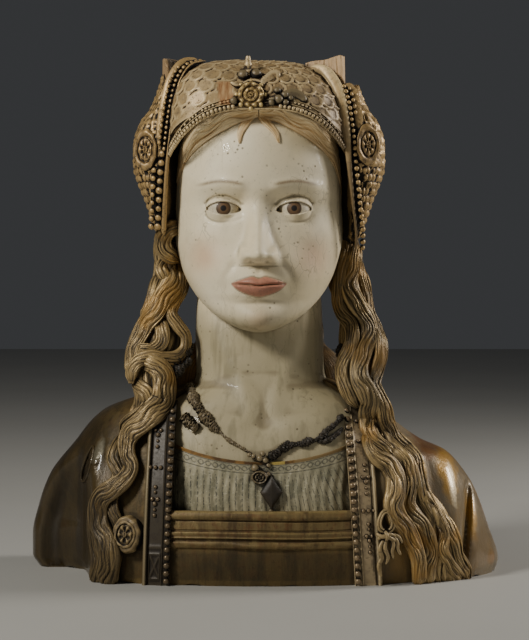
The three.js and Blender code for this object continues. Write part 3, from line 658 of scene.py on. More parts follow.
# Bands down the sides of the neckline
bands = {
    "top": 144.0,
    "width": 22.0,
    "proud": 5.0,
    "thickness": 22.0,
    # where the inner edge, the front and the outer edge end, round the section
    "section": (0.08, 0.82, 0.88),
    "beadPitch": 6.3,
    "beadRadius": 2.6,
    "beadTop": 141.0,
    "beadIn": 2.7,
    "pearlRows": {-1: (139, 93), 1: (128, 113, 59.5)},
    "pearlStacks": {-1: (120, 67), 1: (84, 38)},
    # a stack's pearls: [across, height, radius]
    "stack": [
        (0, 11, 1.8), (0, 7, 1.5), (-2.2, 1.6, 1.9), (2.2, 1.6, 1.9), (0, -2, 2.1), (0, -6.6, 1.5),
        (0, -11, 1.8),
    ],
}


def bandRelief(side, s, z):
    rim = 2.4 * roundness((s - 0.92) / 0.08, 1, 2) * (s > 0.83)
    inner = 1.0 * ease(0.04, 0, s) + 0.9 * gauss((s - 0.3) / 0.03) - 0.8 * gauss((s - 0.12) / 0.09)
    channel = -1.1 * gauss((s - 0.8) / 0.025)
    square = (z > 4) & (z < 27) & (s > 0.34) & (s < 0.78)
    u, v = (s - 0.56) / 0.22, (z - 15.5) / 11.5
    carved = np.maximum(np.abs(u), np.abs(v))
    cross = 1.0 * gauss((np.abs(u) - np.abs(v)) / 0.2) * ease(0.8, 0.7, carved)
    foot = (1.1 * gauss((carved - 0.86) / 0.1) + cross) * square
    foot = foot + 0.9 * gauss((z - 31) / 1.4) * (s > 0.32) * (s < 0.8)
    return rim + inner + channel + foot * (side < 0)


def bandForm(side):
    inner, frontEnd, outer = bands["section"]

    def form(around, along):
        z = bands["top"] * (1 - along)
        front = (around > inner) & (around < frontEnd)
        s = np.clip((around - inner) / (frontEnd - inner), 0, 1)
        s = np.where(around > outer, 1 - (around - outer) / (1 - outer), s)
        deep = np.where(around <= inner, 1 - around / inner, (around - frontEnd) / (outer - frontEnd))
        x = side * (bandInner(side, z) + bands["width"] * s)
        edge = 0.7 * (ease(0.03, 0, s) + ease(0.97, 1, s))
        forward = dressForward(x, z) + bands["proud"] - edge + np.where(front, bandRelief(side, s, z), 0)
        return np.stack([x, bands["thickness"] * np.clip(deep, 0, 1) - forward, z], axis=1)

    return form


def bandMarks(side):
    # the beads along the band's inner edge, and the small pearls on it in rows and stacks
    spots = []

    def put(out, z, proud, radius):
        x = side * (bandInner(side, z) + out)
        y = -float(dressForward(x, z)) - bands["proud"] - proud
        spots.append(((x, y, z), radius, (0.1 * side, -1, 0)))

    for z in np.arange(4, bands["beadTop"], bands["beadPitch"]):
        put(bands["beadIn"], z, 0.9, bands["beadRadius"] * chance.uniform(0.92, 1.06))
    for z in bands["pearlRows"][side]:
        for k in range(3):
            put(10 + 4.2 * k, z, 0.3, 1.9)
    for z in bands["pearlStacks"][side]:
        for across, up, radius in bands["stack"]:
            put(13.5 + across, z + up, 0.3, radius)
    return spots


# Hair: the fall on each side, [height, distance out, half width]
hairFall = {
    -1: [
        (0, 126, 14), (35, 125, 12), (68, 121, 13), (94, 114, 11), (113, 109, 10), (127, 100, 14),
        (148, 92, 15), (171, 91, 17), (190, 85, 19), (221, 82, 13), (242, 78, 12), (276, 76, 11),
    ],
    1: [
        (0, 137, 24), (50, 126, 23), (83, 113, 16), (97, 107, 17), (113, 94, 14), (144, 86, 14),
        (168, 76, 17), (189, 80, 17), (212, 75, 13), (235, 69, 13), (255, 69, 11), (276, 70, 10),
    ],
}
hangingForward = [(115, 66), (140, 54), (165, 42), (190, 32), (225, 22), (276, 16)]

# The locks as they show from the front: how far each is lifted at its start and at its end, and its course,
# [x, height, half width]
locks = {
    -1: [
        (46, 14, [
            (-64, 281, 4), (-70, 284.5, 6), (-78, 282.5, 7), (-82.5, 275.2, 7), (-81.5, 267, 7),
            (-77, 261.5, 6.5), (-70, 257.6, 5),
        ]),
        (3, 3, [
            (-77.4, 259.8, 3), (-83.1, 256.6, 4.5), (-84.8, 251.6, 5), (-82.3, 245.9, 5), (-79.8, 239.4, 4),
        ]),
        (4, 4, [
            (-75.8, 256.6, 6), (-74.1, 245.1, 9), (-78.1, 235.3, 9), (-83.8, 225.5, 8), (-89.4, 214.9, 8),
            (-96.5, 205.2, 8), (-102, 194.7, 8), (-105.8, 183.5, 8), (-107.2, 174, 7), (-107.7, 164.5, 6),
        ]),
        (8, 8, [
            (-70.1, 259.8, 4), (-66.7, 245.9, 5.5), (-68.3, 233.6, 5.5), (-73.9, 223, 5), (-76.3, 214.9, 5),
            (-71.3, 205.2, 5.5), (-64.6, 195.5, 5), (-65.3, 185.9, 5), (-71.7, 178.7, 6),
            (-82.2, 177.1, 6.5), (-91.9, 179.5, 6.5), (-100, 177.1, 6), (-106.2, 169.2, 6),
            (-107.5, 158.2, 5),
        ]),
        (1, 1, [
            (-84.7, 248.4, 5), (-88.8, 238.5, 5.5), (-91.1, 227.1, 5.5), (-94.3, 216.5, 6),
            (-99.8, 207.6, 6),
        ]),
        (5, 5, [
            (-88.5, 212.5, 5), (-83.4, 202, 6), (-84.1, 190.7, 6), (-91.2, 184.3, 6), (-100.2, 184.3, 5.5),
            (-105.7, 178.7, 5),
        ]),
        (8, 8, [
            (-103.8, 169.2, 6), (-98.3, 174.8, 7), (-89.4, 174, 8), (-82.7, 166.1, 9), (-80.8, 155.1, 9.5),
            (-83.1, 144, 10), (-89.5, 135.3, 10), (-97.5, 128, 9), (-106.5, 119.8, 8.5),
            (-110.4, 111.1, 7.5), (-109.2, 102, 6.5), (-106.4, 93.7, 6.5), (-111.1, 83.6, 7),
            (-119.9, 76.3, 8), (-128.9, 68.9, 8.5), (-132.8, 58.5, 8.5), (-131.1, 46.8, 8.5),
            (-126, 35.3, 9), (-122.7, 22.9, 9.5), (-125.3, 10.6, 9), (-128, -3, 8),
        ]),
        (4, 4, [
            (-106.9, 164.5, 5), (-101.8, 157.4, 5.5), (-94.4, 151.1, 6), (-92, 143.1, 6), (-96, 136.7, 6),
            (-103.3, 131.8, 6), (-109.9, 126, 6), (-114.9, 117.8, 6),
        ]),
        (3, 3, [
            (-114.9, 117.8, 4), (-119.4, 107.6, 5), (-121.5, 98.4, 5.5), (-117.9, 90.9, 5.5),
            (-113.6, 85, 5), (-118.3, 77.9, 5), (-127.3, 72.1, 5), (-133.7, 64.8, 5), (-136.1, 54.5, 5.5),
            (-136.8, 42.6, 5.5), (-134.3, 30.9, 6), (-132.6, 19, 6), (-134.4, 6.7, 6), (-136.3, -3, 5),
        ]),
        (4, 4, [
            (-109.5, 86, 4), (-117.5, 77.1, 5), (-121.4, 67.7, 5), (-120.5, 57.6, 5), (-116.3, 48.4, 5),
            (-115.4, 35.9, 5), (-117.8, 23.1, 5), (-120.3, 10.1, 5), (-121.4, -3, 5),
        ]),
    ],
    1: [
        (3, 3, [
            (68.5, 276.2, 4), (66, 266.4, 5), (63.5, 256.6, 5), (61.8, 245.1, 5), (60.1, 233.6, 5),
            (60.9, 223, 5.5), (64.9, 213.3, 6), (70.5, 205.2, 6), (71.9, 195.5, 6), (69.4, 185.9, 6),
            (65.2, 177.1, 6), (63.4, 166.9, 6), (65.6, 155.9, 6), (70.3, 146.4, 5.5), (75.2, 139, 4),
        ]),
        (5, 5, [
            (75, 274.6, 5), (74.2, 263.1, 6), (71.7, 251.6, 6.5), (69.1, 241, 7), (70.7, 231.2, 7.5),
            (75.6, 221.4, 7.5), (82, 212.5, 7.5), (85.1, 202.8, 7), (84.1, 192.3, 7), (79.8, 182.7, 7),
            (76.4, 172.4, 7), (77, 162.1, 7.5), (81.6, 152.7, 8), (85.6, 143.1, 8), (83.4, 132.3, 7.5),
            (83.3, 122.8, 7), (87.9, 113.5, 6.5), (95.8, 106.5, 6), (104.5, 100.3, 5),
        ]),
        (2, 2, [
            (79.1, 261.5, 4), (79, 250, 5), (82.2, 237.7, 5.5), (83.8, 225.5, 5.5), (86.1, 213.3, 5.5),
            (90.8, 202.8, 6), (94.6, 191.5, 6), (94.4, 180.3, 6), (90.9, 169.2, 6), (88.2, 158.2, 6),
            (91.2, 148, 6.5), (96.2, 137.3, 7), (98.9, 125.6, 7), (103.1, 115.8, 7), (111.9, 107, 7),
            (119.5, 98.7, 7), (123.1, 88, 7.5), (123.5, 76.5, 7.5), (127.4, 64.7, 7.5), (136.3, 53.3, 7.5),
            (146.1, 42.6, 7.5), (151, 31.3, 7.5), (153.3, 20.2, 7), (159.2, 10.2, 7), (165.1, -0.7, 6),
        ]),
        (5, 5, [
            (86.4, 142.3, 5), (90.7, 132.3, 6), (92.6, 120.7, 6), (98.7, 111.4, 6), (107.2, 103, 6.5),
            (114.2, 94.5, 7), (116.3, 83.8, 7), (114.3, 73.2, 7), (114.1, 63.1, 6.5), (119, 54.3, 6.5),
            (126.3, 45.2, 6.5), (131.1, 34.8, 6.5), (132.7, 23.7, 7), (130.2, 12.8, 7), (129.5, -3, 7),
        ]),
        (8, 8, [
            (80, 121.4, 3), (83.5, 108.5, 5), (88.9, 101, 6.5), (98.5, 94.5, 8), (103.9, 84.4, 8.5),
            (103.6, 73.7, 8.5), (101.9, 63.7, 8.5), (105, 53.4, 8.5), (112.3, 42.9, 8.5), (118, 31.7, 7.5),
            (122, 19.9, 6.5), (123, 8.8, 6), (123, -3, 6),
        ]),
        (3, 3, [
            (119, 98, 4), (124, 86, 5), (127, 74, 6), (131, 62, 6.5), (138, 50, 6.5), (143, 38, 6.5),
            (143, 26, 6.5), (140, 14, 6.5), (142, 2, 6.5), (143, -3, 6),
        ]),
        (6, 6, [
            (122.8, 78.9, 4), (127.5, 68.6, 4.5), (133.9, 58.1, 5), (140.4, 47.6, 5), (143.6, 36.4, 5),
            (142.6, 25.4, 5), (147.6, 14.8, 5), (155.2, 4.5, 5), (160.3, -3, 4),
        ]),
    ],
}
outerTurns = (0.25, 0.95, 1.6, 2.3)  # where the plainer locks lie round the fall, from its outer side


def hairAt(side, z, column):
    return curveOf(hairFall[side], column, z)


def hairLean(z):
    return headX * ease(132, 298, z)


def hairForward(x, z, lift):
    # it hangs free beside the neck and lies on the dress below
    shoulder = 0.82 * torsoHalfWidth(x, np.clip(z, 0, 165))
    rest = dressForward(np.clip(x, -shoulder, shoulder), z) + lift
    hanging = curve(hangingForward, z) + 0.5 * lift
    return mixed(hanging, rest, ease(155, 115, z))


def strandRelief(across, along, half, count, depth, seed):
    # a few uneven strands parted by drifting grooves, with finer lines combed into them, all in millimetres
    own = np.random.default_rng(seed)
    edges = np.cumsum(own.uniform(0.6, 1.6, count))
    edges = 2 * edges[:-1] / edges[-1] - 1
    lifts = own.uniform(-0.4, 0.4, count)
    across = across + 0.2 * np.sin(2 * math.pi * along / own.uniform(22, 30) + seed) * (1 - across**2)
    relief = np.full(len(across), lifts[0])
    for i, edge in enumerate(edges):
        part = edge + 0.12 * np.sin(along / own.uniform(13, 24) + own.uniform(0, 6.3))
        away = (across - part) * half
        relief += (lifts[i + 1] - lifts[i]) * ease(-0.4, 0.4, away)
        relief -= depth * own.uniform(0.6, 1.2) * np.exp(-np.abs(away) / 0.75)
    lines = across * half / 1.15 + 0.5 * np.sin(along / 17 + seed)
    return relief - 0.3 * (1 - np.abs(np.sin(math.pi * lines / 2)) ** 0.6)


def markStrands(piece, width, length, start=0.0):
    # how far each spot lies across and along its strands, for the fine lines of the paint
    attribute(piece, "strandAcross", start + width * attribute(piece, "around"))
    attribute(piece, "strandAlong", length * attribute(piece, "along"))


def combed(name, columns, rows, form, seed):
    piece = wrap(name, columns, rows, form, caps=2, angle=75)
    markStrands(piece, *form.size, seed * 7.3)
    return piece


def ribbonForm(line, half, out, rise, depth, seed, top=0.84):
    # a flat lock along a dense line: half its width, the way it faces and how high it swells, at each point
    length = lengthsAlong(line)
    tangent = unit(np.gradient(line, axis=0))
    out = unit(out - tangent * (out * tangent).sum(axis=1, keepdims=True))
    across = np.cross(tangent, out)
    count = max(3, int(round(np.median(half) / 1.35)))

    def form(around, along):
        s = along * length[-1]
        middle, sideways, outwards = (pointsAt(s, length, v) for v in (line, across, out))
        wide = np.interp(s, length, half)
        front = around < top
        u = np.where(front, 1 - 2 * around / top, -1 + 2 * (around - top) / (1 - top))
        v = np.sqrt(np.maximum(0, 1 - u**2))
        ridge = strandRelief(u, s, wide, count, depth, seed) * ease(0, 0.3, v) * ease(0, 10, s + 3)
        thick = np.where(front, (wide * rise + 1.5) * v**0.75 + ridge, -0.45 * wide * v)
        return middle + sideways * (wide * u)[:, None] + outwards * thick[:, None]

    form.size = (2 * float(np.median(half)) / top, length[-1])
    return form


def lockForm(side, points, lifts, seed):
    knots = np.array(points, float)
    length = np.concatenate([[0], np.cumsum(np.hypot(*np.diff(knots[:, :2], axis=0).T))])
    s = np.linspace(0, length[-1], 400)
    x, z, w = swung(s, length, knots).T
    ends = ease(0, 9, s) * ease(0, 7, length[-1] - s)
    off = (x - side * hairAt(side, z, 1) - hairLean(z)) / hairAt(side, z, 2)
    free = ease(120, 150, z)
    forward = hairForward(x, z, np.linspace(*lifts, 400)) - free * 5.5 * np.clip(off, -1.3, 1.3) ** 2
    forward = forward + 1.5 * np.sin(s / 9 + seed) - 7 * ease(16, 0, s)
    out = np.stack([mixed(0.35 * side, 0.75 * off, free), -np.ones(400), np.full(400, 0.12)], axis=1)
    rise = 0.46 if np.median(z) > 60 else 0.38
    line = np.stack([x, -forward, z], axis=1)
    return ribbonForm(line, 1.08 * w * mixed(0.45, 1, ends), out, rise, 1.15, seed)


def massForm(side):
    def form(around, along):
        z = mixed(276, -2, along)
        angle = fullTurn * around
        middle = side * hairAt(side, z, 1) + hairLean(z)
        front = hairForward(middle, z, 2)
        waves = 1.7 * np.abs(np.sin(7 * angle + 1.1 * np.sin(z * 0.114 + side))) ** 0.6 - 1.0
        half = 0.9 * hairAt(side, z, 2) + waves
        swing = 3.5 * np.cos((z - 165) * 2 * math.pi / 55) * ease(285, 250, z)
        x = middle + side * swing * 0.6 + half * np.sin(angle)
        y = -(front - 13 * (1 - np.cos(angle)) + waves * np.cos(angle))
        return np.stack([x, y, np.maximum(z, 0)], axis=1)

    return form


def outerForm(side, turn, seed):
    # the plainer locks round the outer side and back of the fall
    z = np.linspace(268, -2, 28)
    off = np.cos(turn) * (hairAt(side, z, 2) * 0.85 - 4)
    swing = 3.0 * np.cos((z - 160) * 2 * math.pi / 55 + seed)
    x = side * (hairAt(side, z, 1) + off + swing * np.abs(np.sin(turn))) + hairLean(z)
    y = -hairForward(side * hairAt(side, z, 1), z, 2) + (np.sin(turn) * 13 + 13) + swing * np.cos(turn)
    line = np.stack([x, y, np.maximum(z, 0)], axis=1)
    length = lengthsAlong(line)
    s = np.linspace(0, length[-1], 300)
    out = np.tile([side * math.cos(turn), math.sin(turn), 0.0], (300, 1))
    return ribbonForm(swung(s, length, line), 6.5 * ease(-8, 12, s), out, 0.45, 1.3, seed, 0.8)


def sideHair(side):
    name = "hairLeft" if side < 0 else "hairRight"
    mass = wrap(name, *grids["hairMass"], massForm(side))
    markStrands(mass, 90, 276)
    parts = [mass]
    for i, (first, last, points) in enumerate(locks[side]):
        seed = 10 * i + 3 + side
        form = lockForm(side, points, (first, last), seed)
        rows = max(24, int(form.size[1] / lockRowPitch))
        parts.append(combed(name + "Lock", lockColumns, rows, form, seed))
    for i, turn in enumerate(outerTurns):
        parts.append(combed(name + "Lock", *grids["outerLock"], outerForm(side, turn, 40 + i), 40 + i))
    return joined(name, parts)


# Hair at the back: one gathered fall behind the neck that widens over the shoulders
backHair = {
    "neckHalfWidth": 53.0,
    "width": [
        (0, 1.7), (0.25, 1.6), (0.42, 1.52), (0.5, 1.5), (0.57, 1.4), (0.605, 1.2), (0.64, 1), (0.8, 0.9),
        (1, 1.2),
    ],
    "depth": [(0, 1.02), (0.3, 1.06), (0.45, 1), (0.6, 0.82), (0.85, 0.88), (1, 0.9)],
}


def backHairForm(around, along):
    up = 1 - along
    z = eyeLine * up
    angle = fullTurn * around
    halfWidth = backHair["neckHalfWidth"] * curve(backHair["width"], up)
    reach = (torso["widestPlane"] + torso["back"]) * curve(backHair["depth"], up)
    behind = -np.cos(angle) > 0
    swing = 5 * np.sin(z * 2 * math.pi / 60 + np.sin(3 * angle))
    reach = reach - 9 * ease(62, 40, z)
    fine = 0.7 * np.abs(np.sin(26 * angle + 0.4 * swing)) ** 0.6
    strands = fine + 2.6 * np.cos(9 * angle + 0.25 * swing) - 2.6
    x = halfWidth * np.sin(angle) + np.where(behind, 0.5 * swing, 0)
    forwards = np.cos(angle)
    y = np.where(behind, -forwards * (reach + strands * ease(0, 0.3, -forwards)), -0.2 * reach * forwards)
    return np.stack([x + headX * ease(0.3, 0.7, up), y, z], axis=1)


def napeForm(around, along):
    # combed hair over the back of the skull, from under the cap down to the gathered fall
    z = mixed(318, 224, along)
    up = (z - eyeLine) / eye
    front, t = frontAndBack(around, 0.8)
    inset = 0.01 + 0.16 * ease(262, 232, z)
    angle = math.pi * mixed(inset, 1 - inset, t)
    plane = curve(head["widestPlane"], up) * eye
    back = np.maximum(skullBack(up), chest["back"] + 12)
    half = np.maximum(headHalfWidth(up) * eye, 54)
    edge = ease(0, 0.05, t) * ease(1, 0.95, t) * ease(1, 0.93, along)
    strands = strandRelief(2 * t - 1 + 0.03 * np.sin(z / 8 + 9 * t), z * 1.0, 105, 30, 1.1, 77)
    out = np.where(front, (2.6 + strands + 1.2 * np.cos(44 * t + 0.8 * np.sin(z / 9))) * edge, -3)
    x = (half + out) * np.cos(angle)
    return np.stack([x + headX, (back + plane + out) * np.sin(angle) - plane, z], axis=1)


napeForm.size = (260.0, 94.0)


# Brow hair: drawn from the parting under the cap's border to the temples, from its lower to its upper edge
browHair = {
    "low": [
        (0, 0.2, 371), (0.1, 6, 369), (0.25, 15, 366.5), (0.4, 27, 360.5), (0.58, 41, 352.5),
        (0.74, 52.5, 343.5), (0.88, 60.5, 333), (1, 66, 318),
    ],
    "high": [
        (0, 0.2, 381), (0.1, 5, 384), (0.25, 14, 386), (0.4, 28, 384), (0.58, 43, 378), (0.74, 56, 368),
        (0.88, 65.5, 354), (1, 70.5, 330),
    ],
    "proud": 4.2,
    "fullness": 0.92,
    "strands": 7,
    "depth": 1.5,
}


def browForm(side):
    def form(around, along):
        share = 0.002 + 0.998 * along
        lowX, lowZ = (curveOf(browHair["low"], column, share) for column in (1, 2))
        highX, highZ = (curveOf(browHair["high"], column, share) for column in (1, 2))
        front, t = frontAndBack(around, 0.8)
        a = mixed(lowX, highX, t)
        z = mixed(lowZ, highZ, t)
        skin = faceForward(np.minimum(a, 69), np.minimum(z, 372))
        v = np.sqrt(np.maximum(0, 1 - (2 * t - 1) ** 2))
        half = 0.5 * (highZ - lowZ) + 3
        across = 2 * t - 1 + 0.05 * np.sin(along * 9 + 5 * t)
        strands = strandRelief(across, along * 90, half, browHair["strands"], browHair["depth"], 5 + side)
        thick = browHair["proud"] * mixed(v**0.5, 1, ease(0.4, 0.7, t)) * mixed(0.75, 1, ease(0, 0.3, along))
        swell = browHair["fullness"] * ease(0.02, 0.55, t) * ease(1, 0.6, along)
        roll = mixed(skin + thick, capForward(a, borderHeight(a)) - 0.8, swell)
        forward = np.where(front, roll + strands * ease(0, 0.06, along) * ease(0, 0.25, v), skin - 3)
        return np.stack([side * a + headX, -forward, z], axis=1)

    form.size = (26.0, 90.0)
    return form


foreLocks = {
    -1: [(-4, 378, 4), (-7.5, 371, 4.4), (-11.5, 364, 3.8), (-14.6, 357.5, 2.7), (-15.2, 350, 0.8)],
    1: [(1, 378, 4), (4.5, 369, 4.4), (9.5, 363, 3.9), (13.8, 357.5, 2.8), (16, 350.5, 0.8)],
}


def foreLockForm(side):
    knots = np.array(foreLocks[side], float)
    at = np.linspace(0, 1, len(knots))

    def form(around, along):
        x, z, w = swung(along, at, knots).T
        angle = fullTurn * around
        u = np.cos(angle)
        ridge = 0.9 * np.abs(np.sin(3 * math.pi * (u + 1) / 2)) ** 0.7 * (np.sin(angle) > 0)
        forward = faceForward(x + u * w, z) + 1.1 * np.sin(angle) * np.minimum(1, w / 1.6) + ridge
        return np.stack([x + u * w + headX, -forward, z], axis=1)

    form.size = (12.0, 28.0)
    return form


# Cap: a boxy dome over the skull, ending at a border that drops from the brow jewel to the temples
cap = {
    "middle": eyeLine + 1.3 * eye,
    "top": eyeLine + 3.5 * eye + 24,
    "halfWidth": 74.0,
    "front": 87.0,
    "back": 95.0,
    "power": 3,
    "leftPower": 4,
    "borderDrop": 35.0,
    "scale": 11.5,
    "scaleRowsReach": 92.0,  # millimetres down the dome for a turn of one radian
    "scaleRingReach": 84.0,
}
capBorder = {
    "rails": [(-2.6, 0.8), (2.3, 0.6), (6.2, 0.6)],  # rise and radius
    # rise, proud, radius, pitch and the share that is kept
    "beads": [(-0.4, 1.6, 1.75, 3.4, 1), (4.2, 0.9, 1.25, 3.1, 0.72)],
    "jewelGap": (-20, 14),
}
capDepthMiddle = (cap["back"] - cap["front"]) / 2
capHalfDepth = (cap["back"] + cap["front"]) / 2


def borderHeight(x):
    return eyeLine + 2.9 * eye - cap["borderDrop"] * (np.abs(x) / (cap["halfWidth"] - 3)) ** 3


def capPower(turn):
    return mixed(cap["power"], cap["leftPower"], ease(0, -0.7, turn))


def capForward(x, z):
    power = capPower(np.asarray(x) / cap["halfWidth"])
    rise = np.maximum(0, z - cap["middle"]) / (cap["top"] - cap["middle"])
    share = np.maximum(0, 1 - rise**power - (np.abs(x) / cap["halfWidth"]) ** power)
    return capHalfDepth * share ** (1 / power) - capDepthMiddle


def capShares(around, along):
    angle = fullTurn * around
    tx, ty = np.sin(angle), np.cos(angle)
    power = capPower(tx)
    flank = borderHeight(cap["halfWidth"] * 0.97 * tx)
    edge = mixed(flank, eyeLine + 0.1 * eye, ease(0.1, -0.6, ty))
    end = np.clip((edge - cap["middle"]) / (cap["top"] - cap["middle"]), -0.9, 1)
    above = np.maximum(end, 1e-3)
    last = np.where(end > 0, np.arctan((above**-power - 1) ** (1 / power)), np.arccos(end))
    return tx, ty, last * np.minimum(1, along / 0.96)


def capForm(around, along):
    tx, ty, polar = capShares(around, along)
    power = capPower(tx)
    planPower = np.where(ty > 0, power, 2.2)
    plan = (np.abs(tx) ** planPower + np.abs(ty) ** planPower) ** (-1 / planPower)
    reach = (np.sin(polar) ** power + np.maximum(0, np.cos(polar)) ** power) ** (-1 / power)
    widest = plan * (1 - 0.3 * np.minimum(0, np.cos(polar)) * np.minimum(0, ty))
    out = np.where(np.cos(polar) > 0, np.sin(polar) * plan * reach, widest)
    out = out * mixed(1, 0.86, ease(0.965, 1, along))
    up = np.cos(polar) * np.where(np.cos(polar) > 0, reach, 1)
    x, y = cap["halfWidth"] * out * tx + headX, capDepthMiddle - capHalfDepth * out * ty
    return np.stack([x, y, cap["middle"] + (cap["top"] - cap["middle"]) * up], axis=1)


def scaleRelief(around, along, points):
    # overlapping round scales with raised rims, in rows that run round the cap
    tx, ty, polar = capShares(around, along)
    down = polar * cap["scaleRowsReach"]
    pitch = cap["scale"] * 0.86
    best = np.full(len(around), -1.0)
    for step in (-1, 0, 1):
        row = np.floor(down / pitch) + step
        rowPolar = (row + 0.5) * pitch / cap["scaleRowsReach"]
        ring = cap["scaleRingReach"] * np.minimum(1, np.sin(np.clip(rowPolar, 0.12, math.pi / 2)) ** 0.8)
        count = np.maximum(6, np.rint(fullTurn * ring / cap["scale"]))
        spot = around * count + 0.5 * (row % 2)
        for k in (-1, 0, 1):
            centre = np.floor(spot) + 0.5 + k
            jitter = np.sin(centre * 12.9 + row * 4.7)
            dx = (spot - centre + 0.06 * jitter) * cap["scale"]
            dy = down - (row + 0.5) * pitch
            d = np.hypot(dx, dy) / (cap["scale"] * 0.53)
            crescent = 0.55 + 0.45 * (dx + 0.8 * dy) / np.maximum(np.hypot(dx, dy) * 1.28, 0.3)
            disc = 0.7 + 1.2 * crescent * gauss((d - 0.8) / 0.14) - 0.3 * gauss(d / 0.45) + 0.2 * jitter
            best = np.where(d < 1, np.maximum(best, disc), best)
    worn = ease(-40, 25, points[:, 0]) * (0.85 + 0.15 * np.sin(points[:, 0] / 13 + points[:, 2] / 9))
    near = ease(0.93, 0.9, along) * (1 - barePatch(points))
    return np.maximum(best, -0.5) * near * mixed(0.5, 1.15, worn)


def barePatch(points):
    # where the scales have come off in front, beside the brow jewel
    across, z = points[:, 0] - headX, points[:, 2]
    edge = np.maximum(np.abs(across + 26.5 + 0.1 * (z - 390)) / 5.6, np.abs(z - 389) / 9.5)
    return ease(1.06, 0.94, edge) * (points[:, 1] < -20)


# Side cauls: long swelling shells over the ears, pointed at the bottom
caul = {
    "reach": 105.0,
    "top": 112.0,
    "bottom": 30.0,
    "inside": 0.71,
    "outline": [
        (0, 0.76), (0.13, 0.83), (0.28, 0.9), (0.39, 0.96), (0.48, 0.99), (0.6, 0.985), (0.68, 0.96),
        (0.75, 0.91), (0.8, 0.855), (0.87, 0.815), (1, 0.76),
    ],
    "front": [(0, 0.24), (0.3, 0.42), (0.6, 0.46), (0.85, 0.36), (1, 0.2)],
    "depth": [(0, 0.25), (0.3, 0.5), (0.6, 0.62), (0.85, 0.55), (1, 0.35)],
    "bead": 6.6,
    "hole": 8.6,
    "strings": (337, 329),
    "highest": {-1: 430.0, 1: 401.0},
}


def caulForm(side):
    def form(around, along):
        up = 1 - along
        z = np.minimum(eyeLine + mixed(-caul["bottom"], caul["top"], up), caul["highest"][side])
        angle = fullTurn * around
        outer = caul["reach"] * curve(caul["outline"], up)
        inner = caul["reach"] * caul["inside"]
        depth = caul["reach"] * curve(caul["depth"], up)
        front = caul["reach"] * curve(caul["front"], up)
        outwards = np.sin(angle)
        sunk = 0.2 * caul["reach"] * outwards * (1 - np.maximum(0, np.cos(angle)))
        x = inner + np.where(outwards > 0, (outer - inner) * np.maximum(outwards, 0) ** 0.8, sunk)
        forwards = np.cos(angle)
        forward = np.where(forwards > 0, front * np.maximum(forwards, 0) ** 0.8, depth * forwards)
        tip = 1 - 0.55 * ease(0.07, 0, up)
        return np.stack([side * mixed(inner, x, tip) + headX, -forward * tip, z], axis=1)

    return form


def netRelief(side):
    def height(around, along, points):
        # a worn plate above, with square holes on the right, and below it strings of half-sunk beads
        angle = fullTurn * around
        outside = ease(-0.15, 0.1, np.sin(angle))
        u = angle * 42 / caul["bead"]
        z = points[:, 2]
        plate = 0.55 * np.sin(z / 2.9 + 2 * np.sin(1.3 * u)) * np.sin(u * 2.3 + z / 7)
        plate = plate + 0.3 * np.sin(z * 1.1 + 4 * u)
        holeU, holeV = u * caul["bead"] / caul["hole"], z / caul["hole"]
        chosen = np.sin(np.floor(holeU) * 5.3 + np.floor(holeV) * 3.1) > -0.6
        square = np.maximum(np.abs(holeU % 1 - 0.5), np.abs(holeV % 1 - 0.5))
        plate = plate - 2.8 * ease(0.36, 0.28, square) * chosen * (0.25 if side < 0 else 1)
        v = z / (caul["bead"] * 0.87)
        row = np.floor(v)
        du = u + 0.5 * (row % 2)
        du = du - np.floor(du) - 0.5
        dv = v - row - 0.5
        d = np.hypot(du, dv * 0.87) * 2
        half = 2.0 * np.sqrt(np.maximum(0, 1 - (d / 0.92) ** 2)) - 1.3
        big = np.sin(row * 2.3 + np.floor(u) * 1.7)
        beads = np.where(big > -0.72, half * mixed(0.7, 1.05, 0.5 + 0.5 * big), -1.9)
        return outside * mixed(plate, beads, ease(*caul["strings"], z))

    return height


# Caul trim: a smooth rim beside the cap, beads along it, and an oval medallion
caulTrim = {
    # [x, y, z] on the left side, from the top down
    "rim": [
        (-46, -34, 419), (-57, -42, 415.5), (-65, -47, 404), (-69.5, -50, 388), (-72.5, -51, 370),
        (-75, -51, 350), (-77.5, -49, 325), (-79, -44, 300), (-80, -37, 280), (-79, -28, 264),
    ],
    "rimWidth": {
        -1: [(0, 1.3), (0.5, 1.5), (1, 2.2)],
        1: [(0, 3), (0.14, 4.6), (0.4, 3.8), (0.55, 2.2), (0.75, 1.3), (1, 1.0)],
    },
    "rightInset": 4.0,
    "rightDrop": 5.0,
    "leftInset": 3.0,
    # each string: distance out, distance back, foot, head, pitch, bead radius
    "strings": {
        -1: [
            (3.4, 0.5, 345, 420, 4.3, 1.9), (8, 1.5, 350, 414, 4.6, 2), (4.6, 1.5, 279, 345, 7.4, 3.3),
            (10, 3, 284, 332, 6.6, 2.7),
        ],
        1: [
            (5.6, 0.5, 345, 399, 4.6, 2.1), (5.4, 1.5, 262, 345, 5.6, 2.3), (9.4, 3, 372, 397, 5, 2),
            (13, 6, 376, 393, 6, 2.2),
        ],
    },
    "medallion": {-1: (-91, -43, 347), 1: (87.5, -45, 351)},
    "medallionSize": (23, 34),
    "rimFoot": {-1: 278, 1: 260},
    # the strip that the upper strings lie on: distance out, distance back, half width, foot, head
    "strip": {-1: (6.2, 4.6, 6, 338, 430), 1: (8, 6, 7.5, 345, 400)},
}


def trimLine(side, count=200):
    knots = np.array(caulTrim["rim"], float)
    if side > 0:
        knots[:, 0] = -knots[:, 0] - caulTrim["rightInset"] * ease(250, 330, knots[:, 2])
        knots[:, 2] -= caulTrim["rightDrop"] * ease(385, 412, knots[:, 2])
    else:
        knots[:, 0] += caulTrim["leftInset"]
    length = lengthsAlong(knots)
    return swung(np.linspace(0, length[-1], count), length, knots) + [headX, 0, 0]


def spaced(line, pitch, first=0.0):
    length = lengthsAlong(line)
    return pointsAt(np.arange(first, length[-1], pitch), length, line)


